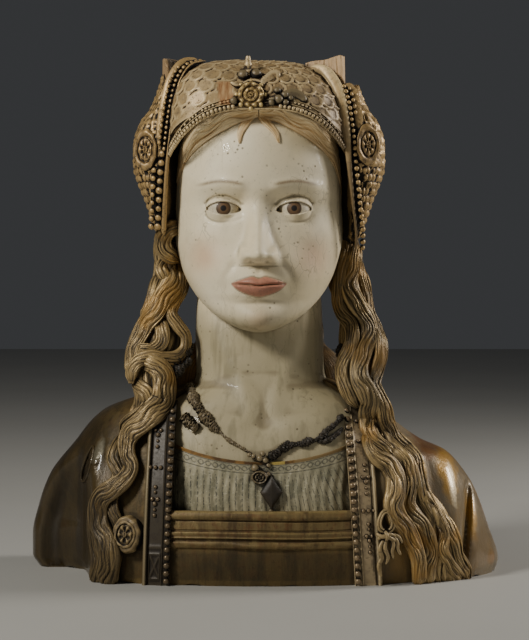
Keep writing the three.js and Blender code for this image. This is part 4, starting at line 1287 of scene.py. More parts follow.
def boss(name, at, facing, width, height, profile, petals=0, petalDepth=0.0, petalAt=0.4, lozenge=False):
    # a round or oval boss: each row of its profile is share along, share of the radius, height
    turn = np.array(Vector(facing).normalized().to_track_quat("Z", "Y").to_matrix())

    def form(around, along):
        r, h = (curveOf(profile, column, along) for column in (1, 2))
        angle = fullTurn * around
        if petals:
            h = h + petalDepth * np.cos(petals * angle) * gauss((r - petalAt) / 0.15) * (along < 0.8)
        if lozenge:
            r = r / (np.abs(np.cos(angle)) + np.abs(np.sin(angle)))
        elif petals:
            h = h + 0.3 * np.sin(5 * angle + 9 * r) * np.sin(3 * angle - 7 * r + petals)
            r = r * (1 + 0.025 * np.sin(3 * angle + 1) * np.sin(7 * angle))
        local = np.stack([width / 2 * r * np.cos(angle), height / 2 * r * np.sin(angle), h], axis=1)
        return local @ turn.T + np.array(at)

    return wrap(name, 60, 60, form, caps=1, angle=60)


flowerProfile = [
    (0, 0.01, 1.6), (0.1, 0.15, 1.7), (0.18, 0.24, 0.8), (0.28, 0.38, 1.7), (0.38, 0.5, 1.6),
    (0.46, 0.58, 0.6), (0.56, 0.7, 1.9), (0.66, 0.82, 2.2), (0.76, 0.94, 1.2), (0.84, 1, -1), (0.92, 1, -4),
    (1, 0.9, -7),
]
buttonProfile = [
    (0, 0.01, 2.4), (0.08, 0.12, 2.5), (0.16, 0.2, 1.5), (0.27, 0.42, 2.4), (0.36, 0.54, 1.2),
    (0.42, 0.6, 2.7), (0.48, 0.68, 2.7), (0.54, 0.74, 1.4), (0.62, 0.85, 1.1), (0.7, 0.94, -0.2),
    (0.8, 0.99, -3), (0.9, 1, -7), (1, 0.95, -11),
]


# Cap jewels: places are across and height on the front of the head
capJewels = {
    "rosette": (-6.2, 387.5, 21, 21),
    "pearls": [
        (-12.5, 404, 4.4), (-2.2, 405, 4.4), (-19.6, 382.5, 3.2), (10, 381.5, 2.9), (15.5, 384, 3.7),
        (20.5, 387.5, 3.2), (14.5, 391, 3), (21, 381.5, 2.6), (25, 385, 2.4),
    ],
    # [places, half width at each share of the length]
    "leaves": [
        ([(1, 397), (6, 400), (12, 403.5), (17, 403)], [(0, 2), (0.35, 4), (0.75, 5), (1, 3.6)]),
        ([(-14, 394.5), (-18, 395.5), (-22.5, 398)], [(0, 1), (0.5, 2), (1, 1)]),
        ([(-13, 396.5), (-7, 399), (0, 398.5), (5, 396)], [(0, 1.2), (0.5, 2), (1, 1.6)]),
    ],
    "scroll": ([(20, 386), (26, 388.5), (32, 387), (37, 382.5)], [(0, 3), (0.4, 4.4), (0.8, 3.4), (1, 2)]),
    "finial": (-8.5, 403, 408, 414, 419.5),  # across, then the heights of its foot and of the places above
}


def onCap(across, z, proud=0.0):
    return (across + headX, -float(capForward(across, z)) - proud, z)


# Horns: the stumps of a turned-up brim, sawn off flat: corners inner to outer, low to high, front to back
horns = {
    -1: [
        (-38, -33, 396), (-38, 12, 396), (-41, -28, 418), (-41, 12, 419.5), (-71, -41, 403),
        (-79.5, -8, 399), (-77, -37, 421), (-79.5, -5, 424),
    ],
    1: [
        (34, -33, 396), (34, 12, 396), (38, -28, 418.5), (38, 12, 420), (69, -42, 400), (71, -8, 399),
        (66.5, -38, 423.5), (70.5, -8, 426),
    ],
}


def horn(side):
    onlySelect()
    bpy.ops.mesh.primitive_cube_add(size=2)
    piece = bpy.context.object
    piece.name = "hornLeft" if side < 0 else "hornRight"
    bpy.ops.object.mode_set(mode="EDIT")
    bpy.ops.mesh.subdivide(number_cuts=23)
    bpy.ops.object.mode_set(mode="OBJECT")
    cube = pointsOf(piece)
    t, up, back = (cube[:, 0] + 1) / 2, (cube[:, 2] + 1) / 2, (cube[:, 1] + 1) / 2
    if side < 0:
        t = 1 - t
    corners = np.array(horns[side], float)
    points = np.zeros_like(cube)
    for i, corner in enumerate(corners):
        share = (t if i >= 4 else 1 - t) * (up if i % 4 >= 2 else 1 - up) * (back if i % 2 else 1 - back)
        points += share[:, None] * corner
    x = points[:, 0]
    grain = 0.35 * np.sin(x * 1.9 + 0.5 * np.sin(points[:, 2] / 3)) + 0.25 * np.sin(x * 4.3)
    points[:, 1] += grain * ease(0.2, 0, back)
    points[:, 2] += (0.4 * np.sin(x / 3.1) + 0.3 * np.sin(points[:, 1] / 2.3)) * ease(0.8, 1, up) - 0.4
    setPoints(piece, place(points + [headX, 0, 0]))
    # painted shade on the front of the left horn
    attribute(piece, "shadedFront", (back < 0.03) * (side < 0) * ease(0.97, 0.9, t))
    closeUp(piece, 35)
    return piece


# Jewels on the dress
necklace = {
    # [places, radius]
    "lines": [
        ([(-63, -44, 160), (-59, -48, 150), (-52, -54, 138), (-43, -60, 127), (-37, -64, 121)], 4.3),
        ([(-66, -55, 133), (-60, -58, 128), (-53, -61, 123)], 5.0),
        ([(-38, -60, 123), (-29, -64, 115), (-19, -68, 109), (-10, -70, 104)], 1.5),
    ],
    "remains": [
        ([(3, -70, 101), (9, -70, 104), (15, -69, 109), (20, -69, 114)], 3.4),
        ([(14, -70, 106), (22, -69, 111), (31, -66, 112), (38, -64, 116)], 2.9),
        ([(34, -66, 113), (44, -60, 116), (50, -58, 122), (57, -54, 127), (63, -48, 134)], 2.5),
        ([(42, -60, 113), (50, -58, 114), (58, -54, 119), (63, -48, 124)], 2.2),
    ],
    # dark ribbons beside the neck, near black as painted shade
    "shadedRibbons": [
        [
            (-58, -26, 190), (-63, -28, 184), (-70, -33, 178), (-76, -38, 170), (-84, -42, 164),
            (-90, -44, 156),
        ],
        [(-60, -28, 178), (-66, -34, 172), (-74, -40, 164), (-82, -44, 154)],
        [(62, -26, 190), (64, -30, 178), (69, -36, 166), (73, -42, 156)],
    ],
}


def cordRadius(length, thick, seed):
    # a crumbling cord: grains of several sizes, thicker here and thinner there
    def radius(along, around):
        turn, s = fullTurn * around, along * length
        grains = np.sin(s * 2.3 + 3 * np.sin(turn + seed)) * np.sin(3 * turn + s * 0.9 + seed)
        grains = grains + 0.7 * np.sin(s * 4.1 + 5 * turn) * np.sin(4 * turn - s * 1.7 + 2 * seed)
        swell = 1 + 0.22 * np.sin(s / 3.7 + seed) + 0.15 * np.sin(s / 1.9 + 2 * seed)
        taper = np.sqrt(np.clip(np.minimum(along, 1 - along) * 14, 0.05, 1))
        return thick * (0.85 * swell + 0.24 * grains) * taper

    return radius


def restingOnChest(points, proud):
    # a line carried forward until it just lies on the chest
    line = swungLine(points, 60)
    line[:, 1] = -chestForward(np.clip(line[:, 0], -62, 62), line[:, 2]) - proud
    return line


pendant = {
    "stone": (5.6, 74),
    "stoneSize": (18, 27),
    "stoneProfile": [
        (0, 0.01, 3.6), (0.3, 0.5, 3), (0.5, 0.8, 1.9), (0.62, 0.97, 0.4), (0.8, 1, -2.5), (1, 0.9, -6),
    ],
    "plate": (-3.8, 86),
    "beads": [
        (-3.6, 100.5, 2.9), (0.8, 99, 2.7), (-1.4, 104, 2.4), (3, 95, 2.1), (-7.2, 93, 3.4), (2.6, 88, 2.4),
        (5.2, 59.5, 2), (-12, 103.4, 1.9), (-8.6, 102.4, 2.1),
    ],
}
rosette = {"across": -110.0, "height": 40.5, "width": 25.0, "length": 30.0, "proud": 9.0}
# the bow's places are [across, below its top, forward]
bow = {
    "across": 96.0,
    "top": 59.5,
    "proud": 9.0,
    "knot": [
        [(-8, -17, 2), (-3, -19.5, 5.5), (3, -18, 5.5), (8.5, -21, 2)],
        [(-7, -22, 2), (-2, -19, 5), (4, -21.5, 5), (9, -25, 2)],
        [(-1.5, -15, 3), (0.5, -19.5, 6.5), (-0.5, -24, 3)],
    ],
    "tails": [
        [(-2, -22, 3), (-5, -29, 3.5), (-3.4, -36, 3), (-6, -43, 2.6), (-3.5, -52, 2)],
        [(0, -22, 3.5), (-1, -29, 4), (1.2, -36, 3), (-0.6, -42, 2.4)],
        [(3, -20, 3.5), (5.5, -26, 4), (4.4, -32, 3), (6, -38, 2)],
        [(4, -19, 3), (8.5, -24, 3.5), (9, -30, 3), (12, -35, 2)],
        [(5, -18, 3), (10, -21, 3), (13, -26, 2)],
    ],
}


def bowParts():
    x, top = bow["across"], bow["top"]

    def on(dx, dz, proud):
        z = top + dz
        return (x + dx, -float(dressForward(x + dx, max(z, 2))) - bow["proud"] - proud, z)

    def strand(places, widths, thickness):
        line = swungLine([on(*spot) for spot in places], 60)
        return tubeAlong("bow", line, flatRadius(widths, thickness), 16, 1)

    parts = []
    for half, high, proud, wide in ((6.2, 9, 3.2, 1.3), (4.3, 7, 3.8, 1)):
        loop = []
        for a in np.linspace(-2.9, 2.9, 24):
            loop.append((half * math.sin(a) * (1 - 0.25 * math.cos(a)), -8 + high * math.cos(a), proud))
        parts.append(strand(loop, [(0, wide), (1, wide)], 1.5))
    for places in bow["knot"] + bow["tails"]:
        parts.append(strand(places, [(0, 1.5), (0.4, 1.8), (0.85, 1.4), (1, 0.6)], 1.3))
    return parts


# Materials: colours are given from 0 to 255
def rgb(*colour):
    light = [c / 255 for c in colour]
    return tuple(((c + 0.055) / 1.055) ** 2.4 if c > 10 / 255 else c / 12.92 for c in light) + (1.0,)


def connect(tree, value, socket):
    # another node's output is linked, and a plain value is set
    if isinstance(value, bpy.types.NodeSocket):
        tree.links.new(value, socket)
    else:
        socket.default_value = value


def add(tree, kind, inputs=None, **settings):
    node = tree.nodes.new(kind)
    for key, value in settings.items():
        setattr(node, key, value)
    for key, value in (inputs or {}).items():
        connect(tree, value, node.inputs[key])
    return node


def maths(tree, operation, a, b=0.0, clamp=False):
    return add(tree, "ShaderNodeMath", {0: a, 1: b}, operation=operation, use_clamp=clamp).outputs[0]


def times(tree, a, b, clamp=False):
    return maths(tree, "MULTIPLY", a, b, clamp)


def plus(tree, a, b, clamp=False):
    return maths(tree, "ADD", a, b, clamp)


def minus(tree, a, b):
    return maths(tree, "SUBTRACT", a, b)


def larger(tree, a, b):
    return maths(tree, "MAXIMUM", a, b)


def hypotenuse(tree, a, b):
    return maths(tree, "SQRT", plus(tree, times(tree, a, a), times(tree, b, b)))


def ramped(tree, value, low, high):
    # 0 at low and below, 1 at high and above, or the other way round where low is the larger
    inputs = {"Value": value, "From Min": low, "From Max": high}
    return add(tree, "ShaderNodeMapRange", inputs).outputs["Result"]


def lineAt(tree, value, middle, outer, inner):
    # 1 where the value is close to the middle, 0 further off than outer
    return ramped(tree, maths(tree, "ABSOLUTE", minus(tree, value, middle)), outer, inner)


def blend(tree, share, a, b):
    node = add(tree, "ShaderNodeMix", data_type="RGBA")
    for key, value in ((0, share), (6, a), (7, b)):
        connect(tree, rgb(*value) if isinstance(value, tuple) else value, node.inputs[key])
    return node.outputs[2]


def laid(tree, tone, colour, share, strength):
    # a colour laid over the tone where share is 1, as strongly as strength says
    return blend(tree, times(tree, share, strength), tone, colour)


def objectPlace(tree):
    return add(tree, "ShaderNodeTexCoord").outputs["Object"]


def axes(tree, where):
    return add(tree, "ShaderNodeSeparateXYZ", {"Vector": where}).outputs


def marked(tree, name):
    # what attribute() wrote at each point of a piece
    return add(tree, "ShaderNodeAttribute", attribute_name=name).outputs["Fac"]


def stretched(tree, where, scale, turn=(0, 0, 0)):
    return add(tree, "ShaderNodeMapping", {"Vector": where, "Rotation": turn, "Scale": scale}).outputs[0]


def noise(tree, where, scale, detail=4.0, rough=0.55):
    inputs = {"Vector": where, "Scale": scale, "Detail": detail, "Roughness": rough}
    return add(tree, "ShaderNodeTexNoise", inputs).outputs["Fac"]


def newMaterial(name, metallic=0.0, coat=0.0):
    material = bpy.data.materials.new(name)
    material.use_nodes = True
    shader = material.node_tree.nodes["Principled BSDF"]
    shader.inputs["Metallic"].default_value = metallic
    shader.inputs["Coat Weight"].default_value = coat
    return material, material.node_tree, shader


def paintOn(tree, shader, tone, rough, height, strength, distance):
    # strength and distance are those of the relief
    tree.links.new(tone, shader.inputs["Base Color"])
    tree.links.new(rough, shader.inputs["Roughness"])
    bump = add(tree, "ShaderNodeBump", {"Height": height, "Strength": strength, "Distance": distance})
    tree.links.new(bump.outputs["Normal"], shader.inputs["Normal"])


def patinaGroup():
    # leaf and glaze: dark dirt in the creases and painted shade where other parts lie close in front, rubbed
    # bright ridges and uneven tone between
    group = bpy.data.node_groups.new("patina", "ShaderNodeTree")
    for label, kind, value in (
        ("Base", "NodeSocketColor", rgb(130, 100, 55)),
        ("Dirt", "NodeSocketColor", rgb(40, 30, 18)),
        ("Rubbed", "NodeSocketColor", rgb(205, 170, 110)),
        ("Ground", "NodeSocketColor", rgb(120, 70, 35)),
        ("Mottle", "NodeSocketColor", rgb(112, 98, 80)),
        ("Dirtiness", "NodeSocketFloat", 1.0),
        ("Rubbing", "NodeSocketFloat", 1.0),
        ("Loss", "NodeSocketFloat", 0.3),
        ("Mottling", "NodeSocketFloat", 0.4),
    ):
        group.interface.new_socket(label, in_out="INPUT", socket_type=kind).default_value = value
    group.interface.new_socket("Color", in_out="OUTPUT", socket_type="NodeSocketColor")
    group.interface.new_socket("Roughness", in_out="OUTPUT", socket_type="NodeSocketFloat")
    group.interface.new_socket("Height", in_out="OUTPUT", socket_type="NodeSocketFloat")
    given = group.nodes.new("NodeGroupInput").outputs
    made = group.nodes.new("NodeGroupOutput").inputs
    where = objectPlace(group)
    ridge, occlusionShade = marked(group, "ridge"), marked(group, "occlusionShade")
    broad = noise(group, where, 18, 3)
    patchy = noise(group, where, 75, 5, 0.6)
    fine = noise(group, where, 420, 4, 0.65)
    tone = blend(group, ramped(group, broad, 0.35, 0.68), given["Base"], given["Rubbed"])
    tone = blend(group, 0.55, tone, given["Base"])
    mottled = ramped(group, noise(group, where, 150, 3, 0.6), 0.48, 0.6)
    tone = laid(group, tone, given["Mottle"], mottled, given["Mottling"])
    tone = laid(group, tone, given["Ground"], ramped(group, patchy, 0.6, 0.7), given["Loss"])
    high = ramped(group, plus(group, ridge, times(group, patchy, 0.25)), 0.66, 0.95)
    tone = laid(group, tone, given["Rubbed"], high, given["Rubbing"])
    low = ramped(group, plus(group, ridge, times(group, fine, 0.12)), 0.5, 0.3)
    # dirt in the creases, and painted shade where other parts lie close in front
    dirt = larger(group, low, ramped(group, plus(group, occlusionShade, times(group, patchy, 0.2)), 0.5, 0.95))
    specks = times(group, ramped(group, noise(group, where, 300, 4, 0.7), 0.56, 0.66), 0.55)
    scuffs = noise(group, stretched(group, where, (1.0, 1.0, 0.4)), 230, 4, 0.7)
    scuffs = times(group, ramped(group, scuffs, 0.58, 0.66), 0.5)
    tone = laid(group, tone, given["Rubbed"], scuffs, given["Rubbing"])
    dirt = times(group, larger(group, dirt, specks), given["Dirtiness"], True)
    tone = blend(group, dirt, tone, given["Dirt"])
    group.links.new(tone, made["Color"])
    group.links.new(plus(group, times(group, dirt, 0.3), times(group, fine, 0.25)), made["Roughness"])
    group.links.new(plus(group, times(group, fine, 0.5), times(group, patchy, 0.5)), made["Height"])
    return group


patina = patinaGroup()

lookNames = (
    "base", "dirt", "rubbed", "ground", "metallic", "rough", "dirtiness", "rubbing", "loss", "mottling",
)
looks = {
    "hairGilding": (
        (104, 85, 51), (30, 23, 12), (192, 164, 112), (96, 66, 32), 0.35, 0.3, 0.8, 0.8, 0.25, 0.4,
    ),
    "shadedHairGilding": (
        (72, 57, 33), (24, 18, 10), (146, 120, 78), (72, 48, 25), 0.3, 0.36, 0.9, 0.6, 0.25, 0.4,
    ),
    "browGilding": (
        (236, 210, 158), (172, 124, 58), (244, 228, 188), (208, 156, 76), 0.03, 0.42, 0.3, 0.7, 0.3, 0.08,
    ),
    "capGilding": (
        (164, 136, 92), (52, 38, 24), (214, 190, 144), (150, 104, 50), 0.2, 0.34, 1.0, 0.9, 0.4, 0.4,
    ),
    "jewelGilding": (
        (164, 134, 78), (74, 54, 28), (222, 194, 132), (146, 108, 52), 0.25, 0.3, 0.9, 1.0, 0.3, 0.4,
    ),
    "rimGilding": (
        (208, 172, 116), (84, 62, 34), (238, 212, 160), (168, 124, 66), 0.1, 0.34, 0.6, 0.8, 0.4, 0.4,
    ),
    "caulGilding": (
        (128, 102, 62), (28, 21, 13), (194, 162, 108), (112, 74, 36), 0.3, 0.3, 1.3, 0.8, 0.4, 0.4,
    ),
    "bandGilding": (
        (158, 138, 106), (28, 22, 14), (190, 170, 132), (120, 78, 50), 0.15, 0.36, 0.7, 1.0, 0.3, 0.4,
    ),
    "beadGilding": (
        (72, 54, 42), (22, 17, 12), (160, 138, 104), (88, 54, 34), 0.35, 0.22, 1.0, 0.6, 0.3, 0.2,
    ),
    "bowGilding": (
        (96, 80, 52), (26, 19, 11), (162, 140, 98), (110, 74, 38), 0.15, 0.36, 1.0, 1.0, 0.3, 0.4,
    ),
    "darkJewels": (
        (84, 72, 50), (26, 20, 12), (142, 126, 94), (62, 46, 28), 0.1, 0.3, 1.0, 0.6, 0.3, 0.4,
    ),
    # near black: real blackening of the cords and the pendant stone, and painted shade on the ribbons beside
    # the neck
    "blackened": (
        (30, 25, 18), (10, 8, 6), (66, 56, 40), (40, 28, 18), 0.0, 0.42, 1.0, 0.4, 0.3, 0.05,
    ),
    "dressGlaze": (
        (84, 70, 40), (28, 22, 10), (140, 116, 66), (104, 68, 30), 0.25, 0.44, 0.5, 0.6, 0.4, 0.3,
    ),
    "railGlaze": (
        (92, 74, 42), (44, 28, 14), (150, 130, 84), (108, 58, 28), 0.25, 0.44, 0.6, 1.0, 0.6, 0.3,
    ),
}
# the axis a gilding darkens along, where that starts and ends, and how far it goes: painted shade low on the
# right caul's rim, darker glaze and painted shade on the left of the bands and beads
shadeAndGlaze = {
    "rimGilding": ("Z", 0.37, 0.33, 0.8),
    "bandGilding": ("X", 0.02, -0.06, 0.92),
    "beadGilding": ("X", 0.02, -0.06, 0.45),
}
darkLeft = {"hairGilding": 0.55, "shadedHairGilding": 0.2}  # how dark the lower fall on the viewer's left gets, with darker gilding and painted shade


def wornLeaf(tree, look):
    inputs = {key.capitalize(): rgb(*look[key]) for key in lookNames[:4]}
    inputs.update({key.capitalize(): look[key] for key in lookNames[6:]})
    return add(tree, "ShaderNodeGroup", inputs, node_tree=patina)


def gildedMaterial(name, overlay=None):
    # overlay lays more over the leaf: it gives back the tone, the height, and the relief's strength and depth
    look = dict(zip(lookNames, looks[name]))
    material, tree, shader = newMaterial(name, look["metallic"])
    worn = wornLeaf(tree, look)
    tone, relief = worn.outputs["Color"], (worn.outputs["Height"], 0.5, 0.0006)
    # painted shade along one axis, with darker glaze on the bands and beads
    if name in shadeAndGlaze:
        axis, start, end, strength = shadeAndGlaze[name]
        side = ramped(tree, axes(tree, objectPlace(tree))[axis], start, end)
        tone = laid(tree, tone, look["dirt"], side, strength)
    if overlay:
        tone, *relief = overlay(tree, name, look, tone, *relief)
    paintOn(tree, shader, tone, plus(tree, worn.outputs["Roughness"], look["rough"], True), *relief)
    return material


def combedHair(tree, name, look, tone, height, strength, distance):
    # fine lines combed along the strands, dark in their hollows
    along = times(tree, marked(tree, "strandAlong"), 0.03)
    combing = add(tree, "ShaderNodeCombineXYZ", {"X": marked(tree, "strandAcross"), "Y": along}).outputs[0]
    lines = noise(tree, combing, 0.95, 2.5, 0.6)
    broad = noise(tree, combing, 0.28, 2.0, 0.5)
    tone = laid(tree, tone, look["dirt"], ramped(tree, lines, 0.52, 0.36), 0.35 + 0.45 * look["dirtiness"])
    tone = laid(tree, tone, look["rubbed"], ramped(tree, lines, 0.54, 0.66), 0.6)
    tone = laid(tree, tone, look["dirt"], ramped(tree, broad, 0.52, 0.36), 0.4)
    if name in darkLeft:
        where = objectPlace(tree)
        ochre = times(tree, ramped(tree, noise(tree, where, 24, 4, 0.6), 0.5, 0.6), 0.6)
        tone = laid(tree, tone, (158, 116, 44), ochre, ramped(tree, lines, 0.36, 0.5))
        olive = ramped(tree, noise(tree, where, 17, 3, 0.5), 0.5, 0.38)
        tone = laid(tree, tone, (74, 66, 46), olive, 0.5)
        # darker gilding and painted shade on the lower part of the fall on the viewer's left
        spot = axes(tree, where)
        left = times(tree, ramped(tree, spot["X"], -0.03, -0.1), ramped(tree, spot["Z"], 0.15, 0.06))
        tone = laid(tree, tone, look["dirt"], left, darkLeft[name])
    return tone, plus(tree, height, times(tree, lines, 2.2)), 0.55, 0.0008


def bareOnCap(tree, name, look, tone, height, strength, distance):
    # the cap darkens towards the right, and where its scales are gone the striped wood shows
    where = objectPlace(tree)
    grain = noise(tree, stretched(tree, where, (1.0, 0.4, 0.04)), 520, 3, 0.5)
    wood = blend(tree, ramped(tree, grain, 0.38, 0.62), (206, 168, 120), (166, 120, 78))
    tone = laid(tree, tone, (84, 66, 40), ramped(tree, axes(tree, where)["X"], 0.028, 0.068), 0.85)
    return blend(tree, marked(tree, "bare"), tone, wood), height, strength, distance


def rubbedEdges(tree, name, look, tone, height, strength, distance):
    # the bands' outer edges are rubbed pale
    return laid(tree, tone, (190, 170, 128), marked(tree, "edge"), 0.7), height, strength, distance


def fleshMaterial():
    # painted gesso: cream skin, faint blush, craquelure, pits and grey wear, with painted shade on the right,
    # down the neck and where parts lie close
    material, tree, shader = newMaterial("fleshPaint", 0.0, 0.06)
    where = objectPlace(tree)
    broad = noise(tree, where, 14, 3)
    patchy = noise(tree, where, 60, 5, 0.6)
    fine = noise(tree, where, 520, 4, 0.65)
    x, _, z = axes(tree, where)
    skin = blend(tree, ramped(tree, broad, 0.35, 0.7), (246, 234, 204), (228, 212, 172))
    skin = laid(tree, skin, (190, 178, 146), ramped(tree, patchy, 0.52, 0.72), 0.35)
    skin = laid(tree, skin, (176, 160, 112), ramped(tree, x, 0.012, 0.066), 0.4)  # painted shade on the right side of the face and neck
    # the neck and chest darker below the chin: aged paint and painted shade
    neckShare = ramped(tree, z, 0.225, 0.2)
    skin = laid(tree, skin, (168, 156, 122), neckShare, 0.85)
    dripping = noise(tree, stretched(tree, where, (1.0, 1.0, 0.12)), 120, 4, 0.6)
    skin = laid(tree, skin, (122, 114, 86), times(tree, ramped(tree, dripping, 0.5, 0.66), neckShare), 0.5)
    skin = laid(tree, skin, (150, 134, 100), ramped(tree, fine, 0.6, 0.72), 0.3)
    skin = laid(tree, skin, (206, 156, 118), marked(tree, "blush"), 0.5)
    lipTone = blend(tree, ramped(tree, fine, 0.4, 0.66), (176, 98, 78), (150, 84, 66))
    skin = laid(tree, skin, lipTone, marked(tree, "lips"), 0.85)
    brows = times(tree, marked(tree, "brows"), ramped(tree, fine, 0.1, 0.45))
    skin = laid(tree, skin, (116, 92, 60), brows, 0.85)
    # cracks run mostly upright in the gesso
    drift = add(tree, "ShaderNodeTexNoise", {"Vector": where, "Scale": 90.0}).outputs["Color"]
    drift = add(tree, "ShaderNodeVectorMath", {0: drift, "Scale": 0.006}, operation="SCALE").outputs[0]
    upright = stretched(tree, where, (1.0, 1.0, 0.32))
    warped = add(tree, "ShaderNodeVectorMath", {0: upright, 1: drift}, operation="ADD").outputs[0]
    cells = add(tree, "ShaderNodeTexVoronoi", {"Vector": warped, "Scale": 130.0}, feature="DISTANCE_TO_EDGE")
    cracked = ramped(tree, noise(tree, where, 26, 3), 0.5, 0.66)
    crack = times(tree, ramped(tree, cells.outputs["Distance"], 0.035, 0.0), cracked)
    pits = add(tree, "ShaderNodeTexVoronoi", {"Vector": where, "Scale": 210.0, "Randomness": 1.0})
    pitted = ramped(tree, noise(tree, where, 34, 4, 0.7), 0.53, 0.62)
    pit = times(tree, ramped(tree, pits.outputs["Distance"], 0.24, 0.14), pitted)
    marks = larger(tree, times(tree, crack, 0.55), pit)
    # dirt in the creases and painted shade where other parts lie close in front
    grimeAndShade = ramped(tree, marked(tree, "occlusionShade"), 0.6, 1.1)
    grimeAndShade = larger(tree, grimeAndShade, ramped(tree, marked(tree, "ridge"), 0.42, 0.15))
    skin = laid(tree, skin, (120, 106, 78), grimeAndShade, 0.6)
    skin = laid(tree, skin, (98, 88, 64), marks, 0.8)
    # eyes: whites, brown iris and dark pupil, with a dark line under the upper lid
    across = maths(tree, "ABSOLUTE", minus(tree, x, (headX + shift[0]) / 1000))
    dx = minus(tree, across, eyes["apart"] / 1000)
    dz = minus(tree, z, (eyes["height"] + eyes["gazeRise"]) / 1000)
    far = hypotenuse(tree, dx, dz)
    white = blend(tree, ramped(tree, fine, 0.4, 0.7), (214, 203, 178), (188, 176, 148))
    iris = blend(tree, ramped(tree, far, 0.0028, 0.0056), (112, 84, 54), (70, 52, 34))
    ball = blend(tree, ramped(tree, far, 0.0061, 0.0056), white, iris)
    ball = blend(tree, ramped(tree, far, 0.0026, 0.0021), ball, (24, 18, 14))
    skin = blend(tree, marked(tree, "eyes"), skin, ball)
    skin = laid(tree, skin, (92, 68, 46), marked(tree, "lidLine"), 0.75)
    rough = plus(tree, times(tree, patchy, 0.3), 0.38)
    rough = plus(tree, rough, times(tree, marks, 0.3), True)
    height = plus(tree, minus(tree, times(tree, fine, 0.35), marks), times(tree, patchy, 0.6))
    paintOn(tree, shader, skin, rough, height, 0.35, 0.0007)
    return material


def chemiseMaterial():
    # grey-green shift with dark wavering stripes and a band of scrolls along its edge
    material, tree, shader = newMaterial("chemisePaint")
    where = objectPlace(tree)
    fine = noise(tree, where, 500, 4, 0.6)
    patchy = noise(tree, where, 70, 4)
    level = marked(tree, "level")
    cloth = blend(tree, ramped(tree, patchy, 0.35, 0.65), (164, 156, 128), (130, 126, 102))
    cloth = laid(tree, cloth, (206, 198, 174), ramped(tree, fine, 0.56, 0.7), 0.5)
    x, _, z = axes(tree, where)
    lean = times(tree, ramped(tree, x, 0.0, 0.05), 0.45)
    across = plus(tree, x, times(tree, z, lean))
    across = plus(tree, across, times(tree, noise(tree, where, 90, 3), 0.0034))
    stripes = maths(tree, "SINE", times(tree, across, fullTurn / 0.0052))
    broken = ramped(tree, noise(tree, where, 380, 3, 0.7), 0.42, 0.5)
    ink = times(tree, ramped(tree, stripes, 0.7, 0.94), broken)
    stitches = noise(tree, stretched(tree, where, (1.0, 1.0, 0.35)), 460, 2)
    ink = larger(tree, ink, times(tree, ramped(tree, stitches, 0.58, 0.68), 0.5))
    ink = times(tree, ink, ramped(tree, level, 0.78, 0.72))
    # scrolls: small rings in a row between two lines
    cell = minus(tree, maths(tree, "FRACT", times(tree, x, 1 / 0.0058)), 0.5)
    rise = times(tree, minus(tree, level, 0.87), 9.5)
    rings = lineAt(tree, hypotenuse(tree, cell, rise), 0.32, 0.12, 0.05)
    swing = times(tree, maths(tree, "SINE", times(tree, x, fullTurn / 0.0116)), 0.34)
    rings = larger(tree, rings, lineAt(tree, rise, swing, 0.14, 0.06))
    lines = larger(tree, lineAt(tree, level, 0.8, 0.012, 0.006), lineAt(tree, level, 0.93, 0.012, 0.006))
    ink = larger(tree, ink, times(tree, larger(tree, rings, lines), 0.8))
    ink = times(tree, ink, ramped(tree, fine, 0.3, 0.5))
    cloth = laid(tree, cloth, (50, 52, 44), ink, 0.85)
    # the narrow hem above them: red-brown, yellow by the middle and tan on the right
    hem = blend(tree, ramped(tree, noise(tree, where, 110, 2), 0.45, 0.6), (140, 104, 52), (92, 66, 38))
    hem = laid(tree, hem, (188, 164, 84), ramped(tree, x, 0.005, 0.0056), ramped(tree, x, 0.0177, 0.0171))
    hem = blend(tree, ramped(tree, x, 0.024, 0.026), hem, (150, 124, 80))
    cloth = blend(tree, ramped(tree, level, 0.938, 0.944), cloth, hem)
    # painted shade where other parts lie close in front
    cloth = laid(tree, cloth, (48, 40, 28), ramped(tree, marked(tree, "occlusionShade"), 0.5, 1.0), 0.6)
    height = minus(tree, fine, times(tree, ink, 0.6))
    paintOn(tree, shader, cloth, plus(tree, times(tree, fine, 0.3), 0.32), height, 0.4, 0.0005)
    return material


# Patches on the dress, worn ones and painted light: strength, colour, middle and half size in millimetres,
# and lean
patchesAndHighlights = [
    (0.9, (166, 124, 40), (149, 90), (9, 24), 0.15),
    (0.8, (166, 124, 40), (169, 48), (5, 20), 0.1),
    (0.7, (158, 116, 40), (176, 74), (4, 22), 0.35),
    (0.6, (124, 108, 86), (132, 84), (7, 22), 0.2),
    (0.8, (118, 74, 30), (134, 110), (12, 14), 0.3),
    (0.7, (156, 118, 88), (181, 66), (5, 34), 0.3),
    (0.7, (140, 98, 42), (187, 14), (4, 6), 0.0),
    (0.5, (110, 84, 44), (176, 24), (16, 16), 0.0),
    # painted highlight down the right sleeve
    (0.9, (214, 196, 160), (152.5, 76), (3.2, 17), 0.12),
    # painted light on the panel between the right band and the hair
    (0.7, (104, 92, 70), (94, 92), (11, 34), 0.0),
    (0.5, (116, 84, 34), (-112, 150), (16, 10), 0.0),
    # painted highlight on the ridge beside the slit
    (0.95, (178, 170, 142), (-135, 103), (4, 10), -0.3),
]


def patchAt(tree, x, z, middle, reach, ragged, lean):
    # a ragged oval patch on the front
    dx = minus(tree, x, (middle[0] + shift[0]) / 1000)
    dz = minus(tree, z, middle[1] / 1000)
    dx = plus(tree, dx, times(tree, dz, lean))
    far = hypotenuse(tree, times(tree, dx, 1000 / reach[0]), times(tree, dz, 1000 / reach[1]))
    return ramped(tree, plus(tree, far, times(tree, ragged, 1.4)), 1.9, 1.3)


